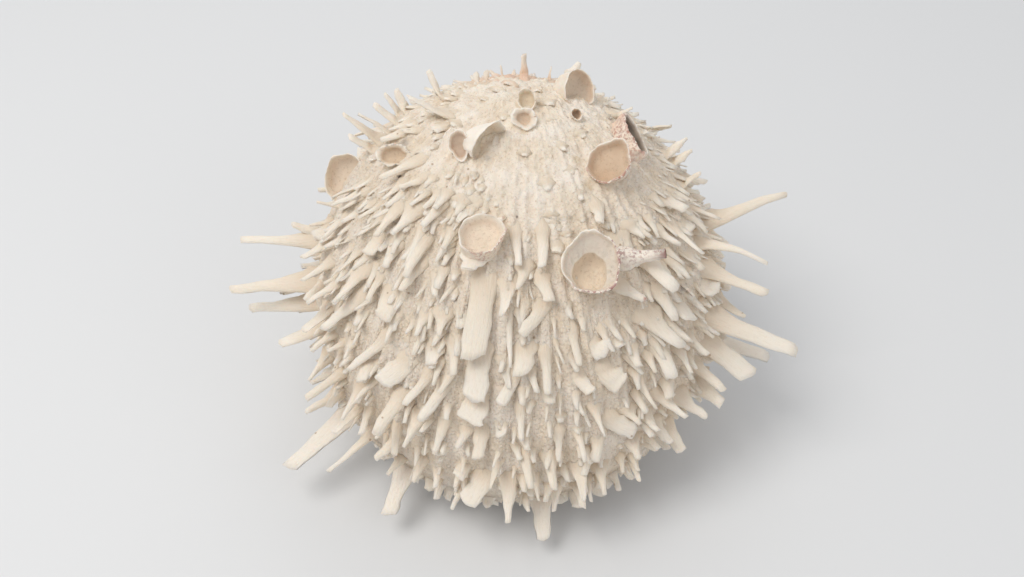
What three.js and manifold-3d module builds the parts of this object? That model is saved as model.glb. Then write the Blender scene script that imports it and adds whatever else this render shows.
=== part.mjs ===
// A thorny oyster shell: two closed valves covered in spines, with dead shells cemented on the upper one.
// Millimetres. +X runs along the hinge, +Y from the front margin to the hinge, +Z up.
// The origin is the middle of the flat scar that the lower valve rests on.
import * as THREE from 'three';
import { mergeVertices } from 'three/addons/utils/BufferGeometryUtils.js';
import Module from 'manifold-3d';

const wasm = await Module();
wasm.setup();

// Driving dimensions of the two valves
const SHELL_LENGTH = 124; // along the hinge, without spines
const SHELL_HEIGHT = 138; // from the hinge to the front margin
const DOME_RISE = 52; // upper valve, from the margin plane to its crown
const DOME_FLATNESS = 2.1; // exponent across the dome
const DOME_SHOULDER = 0.55; // exponent down the dome
const DOME_LEAN = 0.22; // the crown leans to the hinge
const MARGIN_TILT = THREE.MathUtils.degToRad(22); // the margin rises to the hinge
const MARGIN_LIFT = 38; // middle of the margin plane above the surface
const UMBO_X = 0.05; // the ribs fan out from here, as a share of the half length
const UMBO_Y = 0.78; // and of the half height
const WALL = 5; // thickness of a valve
const SEAM = 0.3; // gap between neighbouring pieces
const SCAR_LENGTH = 56; // flat scar under the lower valve, along X
const SCAR_WIDTH = 60; // and along Y
const BOWL_TUCK = 0.8; // how fast the lower valve draws in below its margin
const BOWL_DROP = 1.2; // and how fast it goes down
const BOWL_FLOOR = 6; // inside floor of the lower valve

// Driving dimensions of the spines
const RIBS = 48;
const ROW_SPACING = 10.5; // from spine to spine along a rib
const FIRST_ROW = 2; // from the margin to the first spine
const SPINE_LENGTHS = [9, 8, 7, 9, 10, 11, 9, 9]; // at 0, 45, 90 ... degrees of fan angle
const SPINE_WIDTHS = [1.4, 1.15, 1, 1.1, 1.15, 1, 0.9, 1.2]; // shares at the same angles
const BARE_LENGTHS = [40, 22, 8, 22, 34, 46, 72, 58]; // worn zone around the umbo, at the same angles
const SHORTEST_SPINE = 8.5; // shorter ones are too fine for this model
const SPINE_SINK = 2.5; // root of a spine inside the wall
const HERO_SPACING = 5; // room kept around each spine of the outline
const LOWER_ROWS = [0.06, 0.3, 0.55]; // rows of spines down the lower valve, as a share of its side
const LOWER_COUNT = 22; // spines in a row
const LOWER_LENGTHS = [13, 13, 13, 13, 13, 7, 5, 6]; // at the same angles as SPINE_LENGTHS
const FLOOR_CLEARANCE = 1; // between a spine and the surface below

// Spines seen one by one on the upper valve, at its outline and on its front:
// fan angle, share of the way from umbo to margin, heading, pitch (degrees), length, width, tip share, curl
const UPPER_HEROES = [
  [172, 0.97, 183, 5, 27, 3.8, 0.7, -0.08],
  [170, 0.97, 177, 18, 12, 3.6, 0.6, 0],
  [184, 0.97, 190, 0, 28, 6.4, 0.4, 0.03],
  [187, 0.99, 180, -10, 23, 5, 0.6, 0],
  [194, 0.99, 203, -8, 10, 2.2, 0.7, 0],
  [211, 1, 216, -3, 13, 3.3, 0.5, 0],
  [229, 0.98, 224, -15, 20, 2.4, 0.6, 0],
  [236, 0.97, 226, -12, 10, 3.2, 0.7, 0],
  [244, 0.98, 247, -18, 8, 2.8, 0.5, 0],
  [262, 0.97, 233, -25, 11, 6.5, 0.9, 0],
  [268, 0.97, 271, -28, 14, 4.7, 0.35, 0],
  [275, 0.97, 280, -32, 8, 2.2, 0.4, 0],
  [281, 0.99, 264, -32, 8, 3, 0.4, 0],
  [301, 1, 310, -22, 5, 3, 0.6, 0],
  [308, 0.99, 324, -22, 5, 3, 0.5, 0],
  [311, 0.97, 310, -22, 9, 4.3, 0.5, 0],
  [316, 0.99, 297, -22, 11, 4, 0.9, 0],
  [314, 0.93, 318, -18, 12, 3.8, 0.4, 0],
  [321, 0.97, 325, -15, 12, 4.8, 0.4, 0],
  [12, 0.96, 12, 12, 29, 4.4, 0.5, 0.1],
  [357, 0.88, 336, 8, 22, 3.4, 0.45, -0.14],
  [352, 0.9, 332, -5, 22, 3.8, 0.8, -0.03],
  [343, 0.95, 340, -10, 30, 5.8, 0.5, -0.05],
  [339, 0.97, 324, -20, 19, 5.8, 1.25, -0.04],
  [34, 0.75, 335, 22, 11, 4, 0.5, 0],
  [20, 0.76, 22, 30, 10, 4, 0.3, 0],
  [19, 0.79, 10, 30, 9, 4.6, 0.3, 0],
  [13, 0.82, 2, 30, 8, 4.4, 0.3, 0],
  [24, 0.51, 6, 20, 6, 2.4, 0.4, 0],
  [326, 0.99, 341, -12, 5, 2.8, 0.6, 0],
  [150, 0.44, 135, 48, 10, 2.8, 0.7, 0],
  [178, 0.37, 185, 38, 13, 6.4, 0.3, -0.1],
  [145, 0.66, 138, 42, 9, 4, 0.5, 0],
  [140, 0.75, 150, 38, 10, 3.4, 0.5, 0],
  [154, 0.64, 166, 32, 11, 4.6, 0.5, 0],
  [155, 0.74, 167, 32, 15, 5, 0.5, 0],
  [159, 0.65, 182, 32, 13, 4.4, 0.45, 0],
  [160, 0.74, 176, 28, 10, 4.8, 0.6, 0],
  [170, 0.88, 187, 12, 8, 2, 0.4, 0],
  [90, 0.05, 98, 58, 8, 2.6, 0.95, 0],
  [67, 0.34, 60, 55, 5, 1.6, 0.6, 0],
  [138, 0.13, 118, 55, 5, 1.2, 0.6, 0],
  [145, 0.26, 124, 45, 4.4, 2.8, 0.8, 0],
  [139, 0.23, 110, 55, 4, 2.3, 0.8, 0],
  [255, 0.61, 262, -38, 23, 7, 1.05, 0.02],
  [257, 0.75, 262, -45, 15, 6.8, 1, 0.05],
  [258, 0.84, 247, -38, 8, 7.2, 1.2, 0.08],
  [227, 0.65, 230, -23, 10, 3.3, 0.6, 0],
  [209, 0.82, 195, -38, 17, 4.6, 0.55, -0.05],
  [225, 0.82, 198, -38, 17, 3.7, 0.5, -0.03],
  [234, 0.83, 210, -33, 11, 6.8, 0.9, 0],
  [242, 0.83, 222, -34, 12, 3, 0.7, 0],
  [248, 0.83, 225, -38, 14, 3.7, 0.7, 0],
  [266, 0.66, 271, -41, 17, 2.1, 0.5, 0.03],
  [279, 0.66, 237, -17, 11, 4, 0.8, -0.08],
  [279, 0.6, 287, -16, 8.5, 4, 0.8, -0.06],
  [267, 0.5, 277, -16, 11, 2.7, 0.7, -0.05],
  [281, 0.5, 271, -19, 12, 3, 0.9, -0.04],
  [289, 0.72, 283, -32, 11, 2.7, 0.7, 0],
  [289, 0.81, 308, -21, 7, 4.2, 0.8, 0],
  [298, 0.82, 328, -29, 7.5, 7, 1, 0],
  [295, 0.76, 328, -10, 6, 7, 1, -0.1],
  [297, 0.91, 350, -32, 10, 6.2, 0.8, 0],
  [323, 0.82, 332, -28, 11.5, 3.7, 0.4, 0],
  [269, 0.79, 243, -31, 10, 3.6, 0.9, 0],
  [279, 0.75, 276, -38, 12.4, 3, 0.7, 0],
  [260, 0.9, 260, -41, 8.4, 4.2, 0.8, 0],
  [249, 0.9, 242, -47, 10, 3.3, 0.5, 0],
  [271, 0.85, 270, -41, 10, 2.7, 0.5, 0],
  [282, 0.9, 272, -47, 9.5, 2.7, 0.5, 0],
  [310, 0.68, 324, -8, 10, 5.4, 0.3, -0.05],
  [196, 0.49, 205, -8, 13, 3.6, 0.5, -0.06],
  [207, 0.5, 207, -2, 8, 2.6, 0.5, -0.05],
  [313, 0.5, 278, 4, 8, 4, 0.6, -0.1],
];

// Spines of the outline on the lower valve: fan angle, heading, pitch, length, width, tip share
const LOWER_HEROES = [
  [216, 223, -15, 27, 5, 0.8],
  [238, 250, -20, 17, 4.6, 0.8],
  [277, 274, -22, 14, 5.3, 0.8],
  [287, 275, -15, 7, 4, 0.9],
  [293, 285, -15, 6, 5, 0.9],
  [347, 346, -10, 22, 4.7, 0.9],
];

// Dead shells cemented on the upper valve: fan angle, share from umbo to margin, heading and pitch of the
// opening, half length, half width, height, wall, depth of the hollow, width of the base as a share of the
// rim, and roll about the opening
const CUPS = {
  large_cup_right: [301, 0.622, 265, 56, 7.6, 9, 8, 1, 6.5, 0.72, 0],
  cup_left: [251, 0.544, 275, 70, 6.3, 6, 6.5, 0.7, 3.4, 0.8, 0],
  cup_upper_right: [334, 0.458, 255, 48, 5.9, 6.2, 7, 0.8, 3.4, 0.85, 0],
  cup_skyline: [24, 0.25, 296, 36, 5.1, 6.2, 8, 0.7, 5, 0.85, 0],
  ring_top: [275, 0.138, 265, 48, 2.7, 3.2, 3, 0.5, 2.2, 0.72, 0],
  ring_middle: [268, 0.205, 285, 48, 3.8, 3.4, 3, 1.5, 1.8, 0.72, 0],
  tube_end: [340, 0.263, 280, 40, 1.6, 1.8, 3, 0.5, 2.2, 0.72, 0],
  spout_cup: [216, 0.355, 262, 48, 3.3, 3.2, 4.4, 0.7, 1.7, 0.72, 0],
  brown_cup_left: [179, 0.59, 265, 40, 5.5, 3.2, 4.6, 0.9, 2.4, 0.72, 0],
  fan_left: [157, 0.915, 245, 34, 6.4, 7.8, 5, 0.6, 4, 0.72, 0],
  hood_scale: [228, 0.306, 316, 26, 7, 4.4, 5, 0.6, 4.2, 0.72, 0],
  crust_right: [316, 0.646, 352, 14, 1.1, 1.1, 12.5, 0.4, 1.4, 4.2, 0],
  plate_upper_right: [0, 0.5, 354, 50, 8.2, 2.7, 4.6, 0.7, 3, 1.1, 34],
};

const CHALK = 0xe9dfd0;
const PALE_CHALK = 0xe4ddd3;
const CRUST = 0xd9c3b4;
const DOME_SEGMENTS = 40;
const CUP_SEGMENTS = 10;
const RIB_STEPS = 40;
const OUTER_STEPS = [0.12, 0.3, 0.5, 0.68, 0.82, 0.91, 0.97];
const INNER_STEPS = [0.3, 0.6, 0.85];
const BOWL_STEPS = [0, 0.12, 0.3, 0.5, 0.7, 0.87, 1];
const BOWL_INNER_STEPS = [0, 0.4, 0.8];
const INNER_SCALE = 1 - WALL / (SHELL_LENGTH / 2);
const NUDGE = 0.004; // step for measuring slopes

const degrees = THREE.MathUtils.degToRad;

// A repeatable value from 0 to 1 for a rib, a row and a use
function chance(rib, row, use) {
  const value = Math.sin(rib * 127.1 + row * 311.7 + use * 74.7) * 43758.5453;
  return value - Math.floor(value);
}

// A value given at every eighth of the circle, blended between
function byAngle(values, angle) {
  const eighth = THREE.MathUtils.euclideanModulo(angle, 2 * Math.PI) / (Math.PI / 4);
  const index = Math.floor(eighth) % 8;
  return THREE.MathUtils.lerp(values[index], values[(index + 1) % 8], eighth - Math.floor(eighth));
}

// A direction from its compass heading and its pitch above the surface
function headingVector(heading, pitch) {
  const level = Math.cos(degrees(pitch));
  return new THREE.Vector3(
    level * Math.cos(degrees(heading)),
    level * Math.sin(degrees(heading)),
    Math.sin(degrees(pitch)),
  );
}

// A closed solid from a three.js geometry
function solidFrom(geometry) {
  geometry.deleteAttribute('normal');
  geometry.deleteAttribute('uv');
  const merged = mergeVertices(geometry, 1e-4);
  const place = (index) => new THREE.Vector3().fromBufferAttribute(merged.attributes.position, index);
  const triangles = [];
  let volume = 0;
  for (let i = 0; i < merged.index.count; i += 3) {
    const [a, b, c] = [0, 1, 2].map((corner) => merged.index.getX(i + corner));
    if (a !== b && b !== c && a !== c) {
      triangles.push([a, b, c]);
      volume += place(a).dot(place(b).cross(place(c)));
    }
  }
  const facing = volume > 0 ? triangles : triangles.map(([a, b, c]) => [a, c, b]);
  return new wasm.Manifold(new wasm.Mesh({
    numProp: 3,
    vertProperties: new Float32Array(merged.attributes.position.array),
    triVerts: new Uint32Array(facing.flat()),
  }));
}

// The largest piece of a solid, as a three.js geometry
function geometryFrom(solid) {
  const pieces = solid.decompose();
  const largest = pieces.reduce((best, piece) => (piece.volume() > best.volume() ? piece : best));
  const { vertProperties, triVerts } = largest.simplify(0.03).getMesh();
  const geometry = new THREE.BufferGeometry();
  geometry.setAttribute('position', new THREE.BufferAttribute(new Float32Array(vertProperties), 3));
  geometry.setIndex(new THREE.BufferAttribute(new Uint32Array(triVerts), 1));
  geometry.computeVertexNormals();
  return geometry;
}

// Moves every vertex of a geometry to the place that a function gives
function mapVertices(geometry, place) {
  const position = geometry.attributes.position;
  for (let i = 0; i < position.count; i += 1) {
    const moved = place(new THREE.Vector3().fromBufferAttribute(position, i));
    position.setXYZ(i, moved.x, moved.y, moved.z);
  }
  return geometry;
}

// A lathe whose radius stands for the share from umbo to margin and whose height numbers the surfaces
function fanSolid(profile, place) {
  const points = profile.map(([share, layer]) => new THREE.Vector2(share, layer));
  const lathe = new THREE.LatheGeometry(points, DOME_SEGMENTS);
  return solidFrom(mapVertices(lathe, (v) => place(Math.atan2(v.z, v.x), Math.hypot(v.x, v.z), v.y)));
}

// The place on the unit disc of the margin for a fan angle and a share from umbo to margin
function discPoint(angle, share) {
  return new THREE.Vector2(
    UMBO_X + share * (Math.cos(angle) - UMBO_X),
    UMBO_Y + share * (Math.sin(angle) - UMBO_Y),
  );
}

// From the tilted margin plane to the part's frame
function fromMarginPlane(disc, rise) {
  const along = disc.y * SHELL_HEIGHT / 2;
  return new THREE.Vector3(
    disc.x * SHELL_LENGTH / 2,
    along * Math.cos(MARGIN_TILT) - rise * Math.sin(MARGIN_TILT),
    along * Math.sin(MARGIN_TILT) + rise * Math.cos(MARGIN_TILT) + MARGIN_LIFT,
  );
}

function domeRise(disc) {
  const ring = Math.min(1, disc.length());
  return DOME_RISE * (1 - ring ** DOME_FLATNESS) ** DOME_SHOULDER * (1 + DOME_LEAN * disc.y);
}

// A point on the outside of the upper valve
function domePoint(angle, share) {
  const disc = discPoint(angle, share);
  return fromMarginPlane(disc, domeRise(disc) + SEAM / 2);
}

// The upper valve's surface at a point: along its rib, out of it, and outward level with the margin
function domeFrame(angle, share) {
  const inner = Math.min(share, 1 - 2 * NUDGE);
  const point = domePoint(angle, share);
  const along = domePoint(angle, inner + NUDGE).sub(domePoint(angle, inner - NUDGE)).normalize();
  const sideways = domePoint(angle + NUDGE, inner).sub(domePoint(angle - NUDGE, inner));
  const out = along.clone().cross(sideways).normalize();
  if (out.dot(point.clone().sub(new THREE.Vector3(0, 0, MARGIN_LIFT))) < 0) out.negate();
  const spread = discPoint(angle, 1).sub(discPoint(angle, 0));
  const level = fromMarginPlane(spread, 0).sub(fromMarginPlane(new THREE.Vector2(), 0)).normalize();
  return { point, along, out, level };
}

// A point on the outside of the lower valve, grown by a gap, from its margin (0) down to its scar (1)
function bowlPoint(angle, share, gap = 0) {
  const grown = 1 + 2 * gap / SHELL_LENGTH;
  const margin = fromMarginPlane(discPoint(angle, 1).multiplyScalar(grown), gap - SEAM / 2);
  const scar = new THREE.Vector3(
    Math.cos(angle) * SCAR_LENGTH / 2,
    Math.sin(angle) * SCAR_WIDTH / 2,
    0,
  );
  const point = scar.clone().lerp(margin, (1 - share) ** BOWL_TUCK);
  point.z = margin.z * (1 - share) ** BOWL_DROP;
  return point;
}

// A spine, grown by a gap: a three-sided blade with a sunken root, a wider foot and a blunt tip
function spineSolid({ root, direction, out, length, width, tip, curl }, gap) {
  const side = direction.clone().cross(out).normalize();
  const top = side.clone().cross(direction).normalize();
  const blade = new THREE.CylinderGeometry(1, 1, 1, 3, curl ? 2 : 1);
  return solidFrom(mapVertices(blade, (v) => {
    const share = v.y + 0.5;
    const half = width * THREE.MathUtils.lerp(0.66, 0.58 * tip, share);
    const reach = share * (length + gap + SPINE_SINK) - SPINE_SINK;
    return root.clone()
      .addScaledVector(direction, reach)
      .addScaledVector(top, curl * length * share ** 2 + v.z * (half * 0.5 + 2 * gap))
      .addScaledVector(side, v.x * (half + 2 * gap));
  }));
}

// The spines of the outline on the upper valve
function upperHeroes() {
  return UPPER_HEROES.map(([fan, share, heading, pitch, length, width, tip, curl]) => {
    const { point, out } = domeFrame(degrees(fan), share);
    return { root: point, out, direction: headingVector(heading, pitch), length, width, tip, curl };
  });
}

// How far along a rib each share from umbo to margin lies
function ribLengths(angle) {
  const lengths = [0];
  for (let step = 1; step <= RIB_STEPS; step += 1) {
    const stride = domePoint(angle, step / RIB_STEPS).distanceTo(domePoint(angle, (step - 1) / RIB_STEPS));
    lengths.push(lengths[step - 1] + stride);
  }
  return lengths;
}

// The share from umbo to margin at a distance along a rib
function shareAt(lengths, distance) {
  const step = lengths.findIndex((length) => length >= distance);
  const before = lengths[step - 1];
  return (step - 1 + (distance - before) / (lengths[step] - before)) / RIB_STEPS;
}

// One spine of a rib, where the rib's own pattern puts it
function ribSpine(rib, row, angle, share, fullness) {
  const { point, along, out, level } = domeFrame(angle, share);
  const outward = 0.3 + 0.4 * share ** 4;
  const direction = along.clone().lerp(level, outward).normalize();
  direction.addScaledVector(out, 0.15 + 0.3 * chance(rib, row, 4)).normalize();
  direction.applyAxisAngle(out, degrees(34) * (chance(rib, row, 5) - 0.5));
  const strong = chance(rib, row, 6) > 0.7 ? 1.3 : 1;
  return {
    root: point,
    out,
    direction,
    length: byAngle(SPINE_LENGTHS, angle) * (0.65 + 0.6 * chance(rib, row, 7)) * fullness * strong,
    width: (2.1 + 1.5 * chance(rib, row, 8)) * strong * byAngle(SPINE_WIDTHS, angle),
    tip: 0.25 + 0.45 * chance(rib, row, 9),
    curl: 0,
  };
}

// The rows of spines along the ribs of the upper valve
function upperSpines(heroes, cups) {
  const spines = [];
  for (let rib = 0; rib < RIBS; rib += 1) {
    const angle = (2 * Math.PI * (rib + 0.5 * chance(rib, 0, 1))) / RIBS;
    const lengths = ribLengths(angle);
    const bare = byAngle(BARE_LENGTHS, angle);
    const stagger = FIRST_ROW + (rib % 2) * ROW_SPACING / 2 + 2 * chance(rib, 0, 2);
    let distance = lengths[RIB_STEPS] - stagger;
    for (let row = 0; distance > bare; row += 1) {
      const fullness = 0.6 + 0.4 * THREE.MathUtils.smoothstep(distance, bare, bare + 25);
      const spine = ribSpine(rib, row, angle, shareAt(lengths, distance), fullness);
      const crowded = heroes.some((hero) => hero.root.distanceTo(spine.root) < HERO_SPACING);
      const covered = cups.some((cup) => cup.centre.distanceTo(spine.root) < cup.reach);
      if (!crowded && !covered && spine.length > SHORTEST_SPINE) spines.push(spine);
      distance -= ROW_SPACING * (0.85 + 0.3 * chance(rib, row, 3));
    }
  }
  return spines;
}

// The lower valve's spines: those of the outline, then rows that get shorter towards the scar
function lowerSpines() {
  const spines = LOWER_HEROES.map(([fan, heading, pitch, length, width, tip]) => ({
    root: bowlPoint(degrees(fan), LOWER_ROWS[0]),
    out: new THREE.Vector3(0, 0, 1),
    direction: headingVector(heading, pitch),
    length,
    width,
    tip,
    curl: 0,
  }));
  LOWER_ROWS.forEach((share, row) => {
    for (let i = 0; i < LOWER_COUNT; i += 1) {
      const angle = (2 * Math.PI * (i + 0.5 * (row % 2) + 0.5 * chance(i, row, 11))) / LOWER_COUNT;
      const root = bowlPoint(angle, share);
      const length = (1 - 0.3 * row) * byAngle(LOWER_LENGTHS, angle) * (0.7 + 0.6 * chance(i, row, 12));
      const heading = THREE.MathUtils.radToDeg(Math.atan2(root.y, root.x)) + 24 * (chance(i, row, 13) - 0.5);
      const room = Math.max(0, root.z - FLOOR_CLEARANCE - 3);
      const steepest = THREE.MathUtils.radToDeg(Math.asin(Math.min(1, room / length)));
      const pitch = Math.max(-steepest, 30 * chance(i, row, 14) - 22);
      const crowded = spines.some((spine) => spine.root.distanceTo(root) < HERO_SPACING);
      if (!crowded && room > 2 && length > SHORTEST_SPINE) {
        spines.push({
          root,
          out: new THREE.Vector3(0, 0, 1),
          direction: headingVector(heading, pitch),
          length,
          width: 2.6 + 2 * chance(i, row, 15),
          tip: 0.4 + 0.5 * chance(i, row, 16),
          curl: 0,
        });
      }
    }
  });
  return spines;
}

// Where a cemented shell sits, and the solid of it with its walls moved out by a gap
function cementedShell([fan, share, heading, pitch, halfLength, halfWidth, height, wall, depth, base, roll]) {
  const { point } = domeFrame(degrees(fan), share);
  const up = headingVector(heading, pitch);
  const side = new THREE.Vector3(0, 0, 1).cross(up).normalize().applyAxisAngle(up, degrees(roll));
  const front = up.clone().cross(side);
  const root = point.clone().addScaledVector(up, -0.5 * height);
  const reach = Math.max(halfLength, halfWidth) + 1;
  const shape = (gap, hollow) => {
    const rim = 1 + gap / Math.min(halfLength, halfWidth);
    const top = 1.5 * height + gap;
    const waist = THREE.MathUtils.lerp(base, 1, 0.66);
    const profile = [[0, -gap], [base * rim, -gap], [waist * rim, 0.6 * top], [rim, top]];
    if (hollow) {
      const mouth = 1 - wall / Math.min(halfLength, halfWidth);
      profile.push([mouth, top], [0.75 * mouth, top - depth], [0, top - depth]);
    } else {
      profile.push([0, top]);
    }
    const lathe = new THREE.LatheGeometry(profile.map(([r, y]) => new THREE.Vector2(r, y)), CUP_SEGMENTS);
    return solidFrom(mapVertices(lathe, (v) => root.clone()
      .addScaledVector(side, v.x * halfLength)
      .addScaledVector(front, v.z * halfWidth)
      .addScaledVector(up, v.y)));
  };
  return { centre: point, reach, body: shape(0, true), room: shape(SEAM, false) };
}

// The outside of the upper valve, grown by a gap
function domeSolid(gap) {
  const profile = [[0, 0], ...OUTER_STEPS.map((share) => [share, 0]), [1, 0], [1, 1], [0, 1]];
  return fanSolid(profile, (angle, share, layer) => {
    const disc = discPoint(angle, share);
    const grown = 1 + 2 * gap / SHELL_LENGTH;
    const rise = layer > 0.5 ? -gap : domeRise(disc) + 2 * gap;
    return fromMarginPlane(disc.multiplyScalar(grown), rise + SEAM / 2);
  });
}

// The hollow of the upper valve
function domeHollow() {
  const profile = [[0, 0], ...INNER_STEPS.map((share) => [share, 0]), [1, 0], [1, 1], [0, 1]];
  return fanSolid(profile, (angle, share, layer) => {
    const disc = discPoint(angle, share);
    const rise = layer > 0.5 ? -1 : (1 - WALL / DOME_RISE) * domeRise(disc);
    return fromMarginPlane(disc.multiplyScalar(INNER_SCALE), rise);
  });
}

// The outside of the lower valve, grown by a gap
function bowlOutside(gap) {
  const profile = [[0, 0], ...BOWL_STEPS.map((share) => [1, share]), [0, 1]];
  return fanSolid(profile, (angle, radius, share) => {
    if (radius > 0.5) return bowlPoint(angle, share, gap);
    return share > 0.5 ? new THREE.Vector3() : fromMarginPlane(discPoint(0, 0), gap - SEAM / 2);
  });
}

// The hollow of the lower valve
function bowlHollow() {
  const profile = [[0, -1], [1, -1], ...BOWL_INNER_STEPS.map((share) => [1, share]), [0, 1]];
  return fanSolid(profile, (angle, radius, share) => {
    const rim = fromMarginPlane(discPoint(angle, radius).multiplyScalar(INNER_SCALE), 0);
    if (share < -0.5) return rim.setZ(rim.z + 1);
    if (radius < 0.5) return new THREE.Vector3(0, 0, BOWL_FLOOR);
    const point = bowlPoint(angle, share).multiply(new THREE.Vector3(INNER_SCALE, INNER_SCALE, 0));
    return point.setZ(BOWL_FLOOR + (rim.z - BOWL_FLOOR) * (1 - share) ** BOWL_DROP);
  });
}

const shell = new THREE.Group();

function addPiece(name, solid, color, roughness) {
  const material = new THREE.MeshStandardMaterial({ color, roughness, metalness: 0 });
  const mesh = new THREE.Mesh(geometryFrom(solid), material);
  mesh.name = name;
  shell.add(mesh);
}

function union(spines, gap) {
  return wasm.Manifold.union(spines.map((spine) => spineSolid(spine, gap)));
}

const cups = Object.entries(CUPS).map(([name, sizes]) => ({ name, ...cementedShell(sizes) }));
const heroes = upperHeroes();
const upperThorns = [...heroes, ...upperSpines(heroes, cups)];
const lowerThorns = lowerSpines();
const taken = wasm.Manifold.union([...cups.map((cup) => cup.room), domeHollow(), bowlOutside(SEAM)]);
const upper = domeSolid(0).subtract(domeHollow()).add(union(upperThorns, 0).subtract(taken));
const upperRoom = domeSolid(SEAM).add(union(upperThorns, SEAM));
const lower = bowlOutside(0).add(union(lowerThorns, 0).subtract(upperRoom)).subtract(bowlHollow());

addPiece('upper_valve', upper, CHALK, 0.85);
addPiece('lower_valve', lower, PALE_CHALK, 0.8);
const ground = domeSolid(SEAM);
cups.forEach((cup, index) => {
  const earlier = cups.slice(0, index).map((other) => other.room);
  const body = earlier.reduce((solid, room) => solid.subtract(room), cup.body.subtract(ground));
  addPiece(cup.name, body, CRUST, 0.75);
});

export default shell;
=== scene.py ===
import math

import bmesh
import bpy
import numpy as np
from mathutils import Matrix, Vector, noise


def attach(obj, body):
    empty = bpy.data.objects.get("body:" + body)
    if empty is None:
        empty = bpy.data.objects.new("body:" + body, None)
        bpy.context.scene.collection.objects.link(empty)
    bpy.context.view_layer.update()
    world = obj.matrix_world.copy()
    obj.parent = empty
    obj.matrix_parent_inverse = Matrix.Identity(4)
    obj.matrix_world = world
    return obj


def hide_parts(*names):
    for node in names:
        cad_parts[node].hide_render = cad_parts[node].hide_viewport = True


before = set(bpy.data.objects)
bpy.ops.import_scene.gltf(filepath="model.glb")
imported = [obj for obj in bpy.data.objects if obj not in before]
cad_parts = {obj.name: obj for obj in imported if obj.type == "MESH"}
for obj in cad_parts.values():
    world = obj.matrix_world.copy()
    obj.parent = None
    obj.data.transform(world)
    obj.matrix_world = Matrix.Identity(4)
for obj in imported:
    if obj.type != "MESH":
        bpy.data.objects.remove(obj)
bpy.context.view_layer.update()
MM = 0.001

# The two valves, as in the solids
SHELL_LENGTH = 124
SHELL_HEIGHT = 138
DOME_RISE = 52
DOME_FLATNESS = 2.1
DOME_SHOULDER = 0.55
DOME_LEAN = 0.22
MARGIN_TILT = math.radians(22)
MARGIN_LIFT = 38
UMBO = (0.05, 0.78)
WALL = 5
SEAM = 0.3
SCAR_LENGTH = 56
SCAR_WIDTH = 60
BOWL_TUCK = 0.8
BOWL_DROP = 1.2
BOWL_FLOOR = 6
INNER_SCALE = 1 - WALL / (SHELL_LENGTH / 2)
MARGIN_UP = np.array((0, -math.sin(MARGIN_TILT), math.cos(MARGIN_TILT)))

# The pattern of the spines, as in the solids
RIBS = 48
ROW_SPACING = 10.5
FIRST_ROW = 2
SPINE_LENGTHS = (9, 8, 7, 9, 10, 11, 9, 9)
SPINE_WIDTHS = (1.4, 1.15, 1, 1.1, 1.15, 1, 0.9, 1.2)
WIDEST_SPINE = 7
THICKEST_BLADE = 1.3
BARE_LENGTHS = (40, 22, 8, 22, 34, 46, 72, 58)
HERO_SPACING = 5
LOWER_ROWS = (0.06, 0.3, 0.55)
LOWER_COUNT = 22
LOWER_LENGTHS = (13, 13, 13, 13, 13, 7, 5, 6)
FLOOR_CLEARANCE = 1

# The pink of the old spines: its middle, where it starts and ends to fade, and its strength
BLUSH_CENTRE = np.array((0, 42, 90))
BLUSH_REACH = (6, 20)
BLUSH_SHARE = 0.55

# Small scales and stubs: the shares left out, spacing, sinking, counts, and where they stop
SCALE_GAPS = 0.18
STUB_GAPS = 0.3
STUB_SPACING = 6
STUB_SINK = 0.4
CLEAN_UMBO = 7
LOWER_SCALE_COLUMNS = 66
LOWER_SCALE_ROWS = 10
LOWER_SCALE_GAPS = 0.2
LOWEST_SCALE = 5

# Room kept between the spines and what they grow beside
BLADE_CLEARANCE = 1.2
BELOW_CUP = 4
ABOVE_CUP = 9
BESIDE_CUP = 1
LOWER_SPINE_DROOP = 3
LEAST_ROOM = 2

# Sides and cuts of the blanks that the spines are bent from
HERO_BLANK = (14, 11)
SPINE_BLANK = (10, 5)
SCALE_BLANK = (6, 3)
LOWER_BLANK = (12, 8)
HORN_BLANK = (14, 9)

# Columns round the valves' sheets, and sides of the cemented shells
UPPER_COLUMNS = 560
LOWER_COLUMNS = 480
CUP_SIDES = 72

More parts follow.
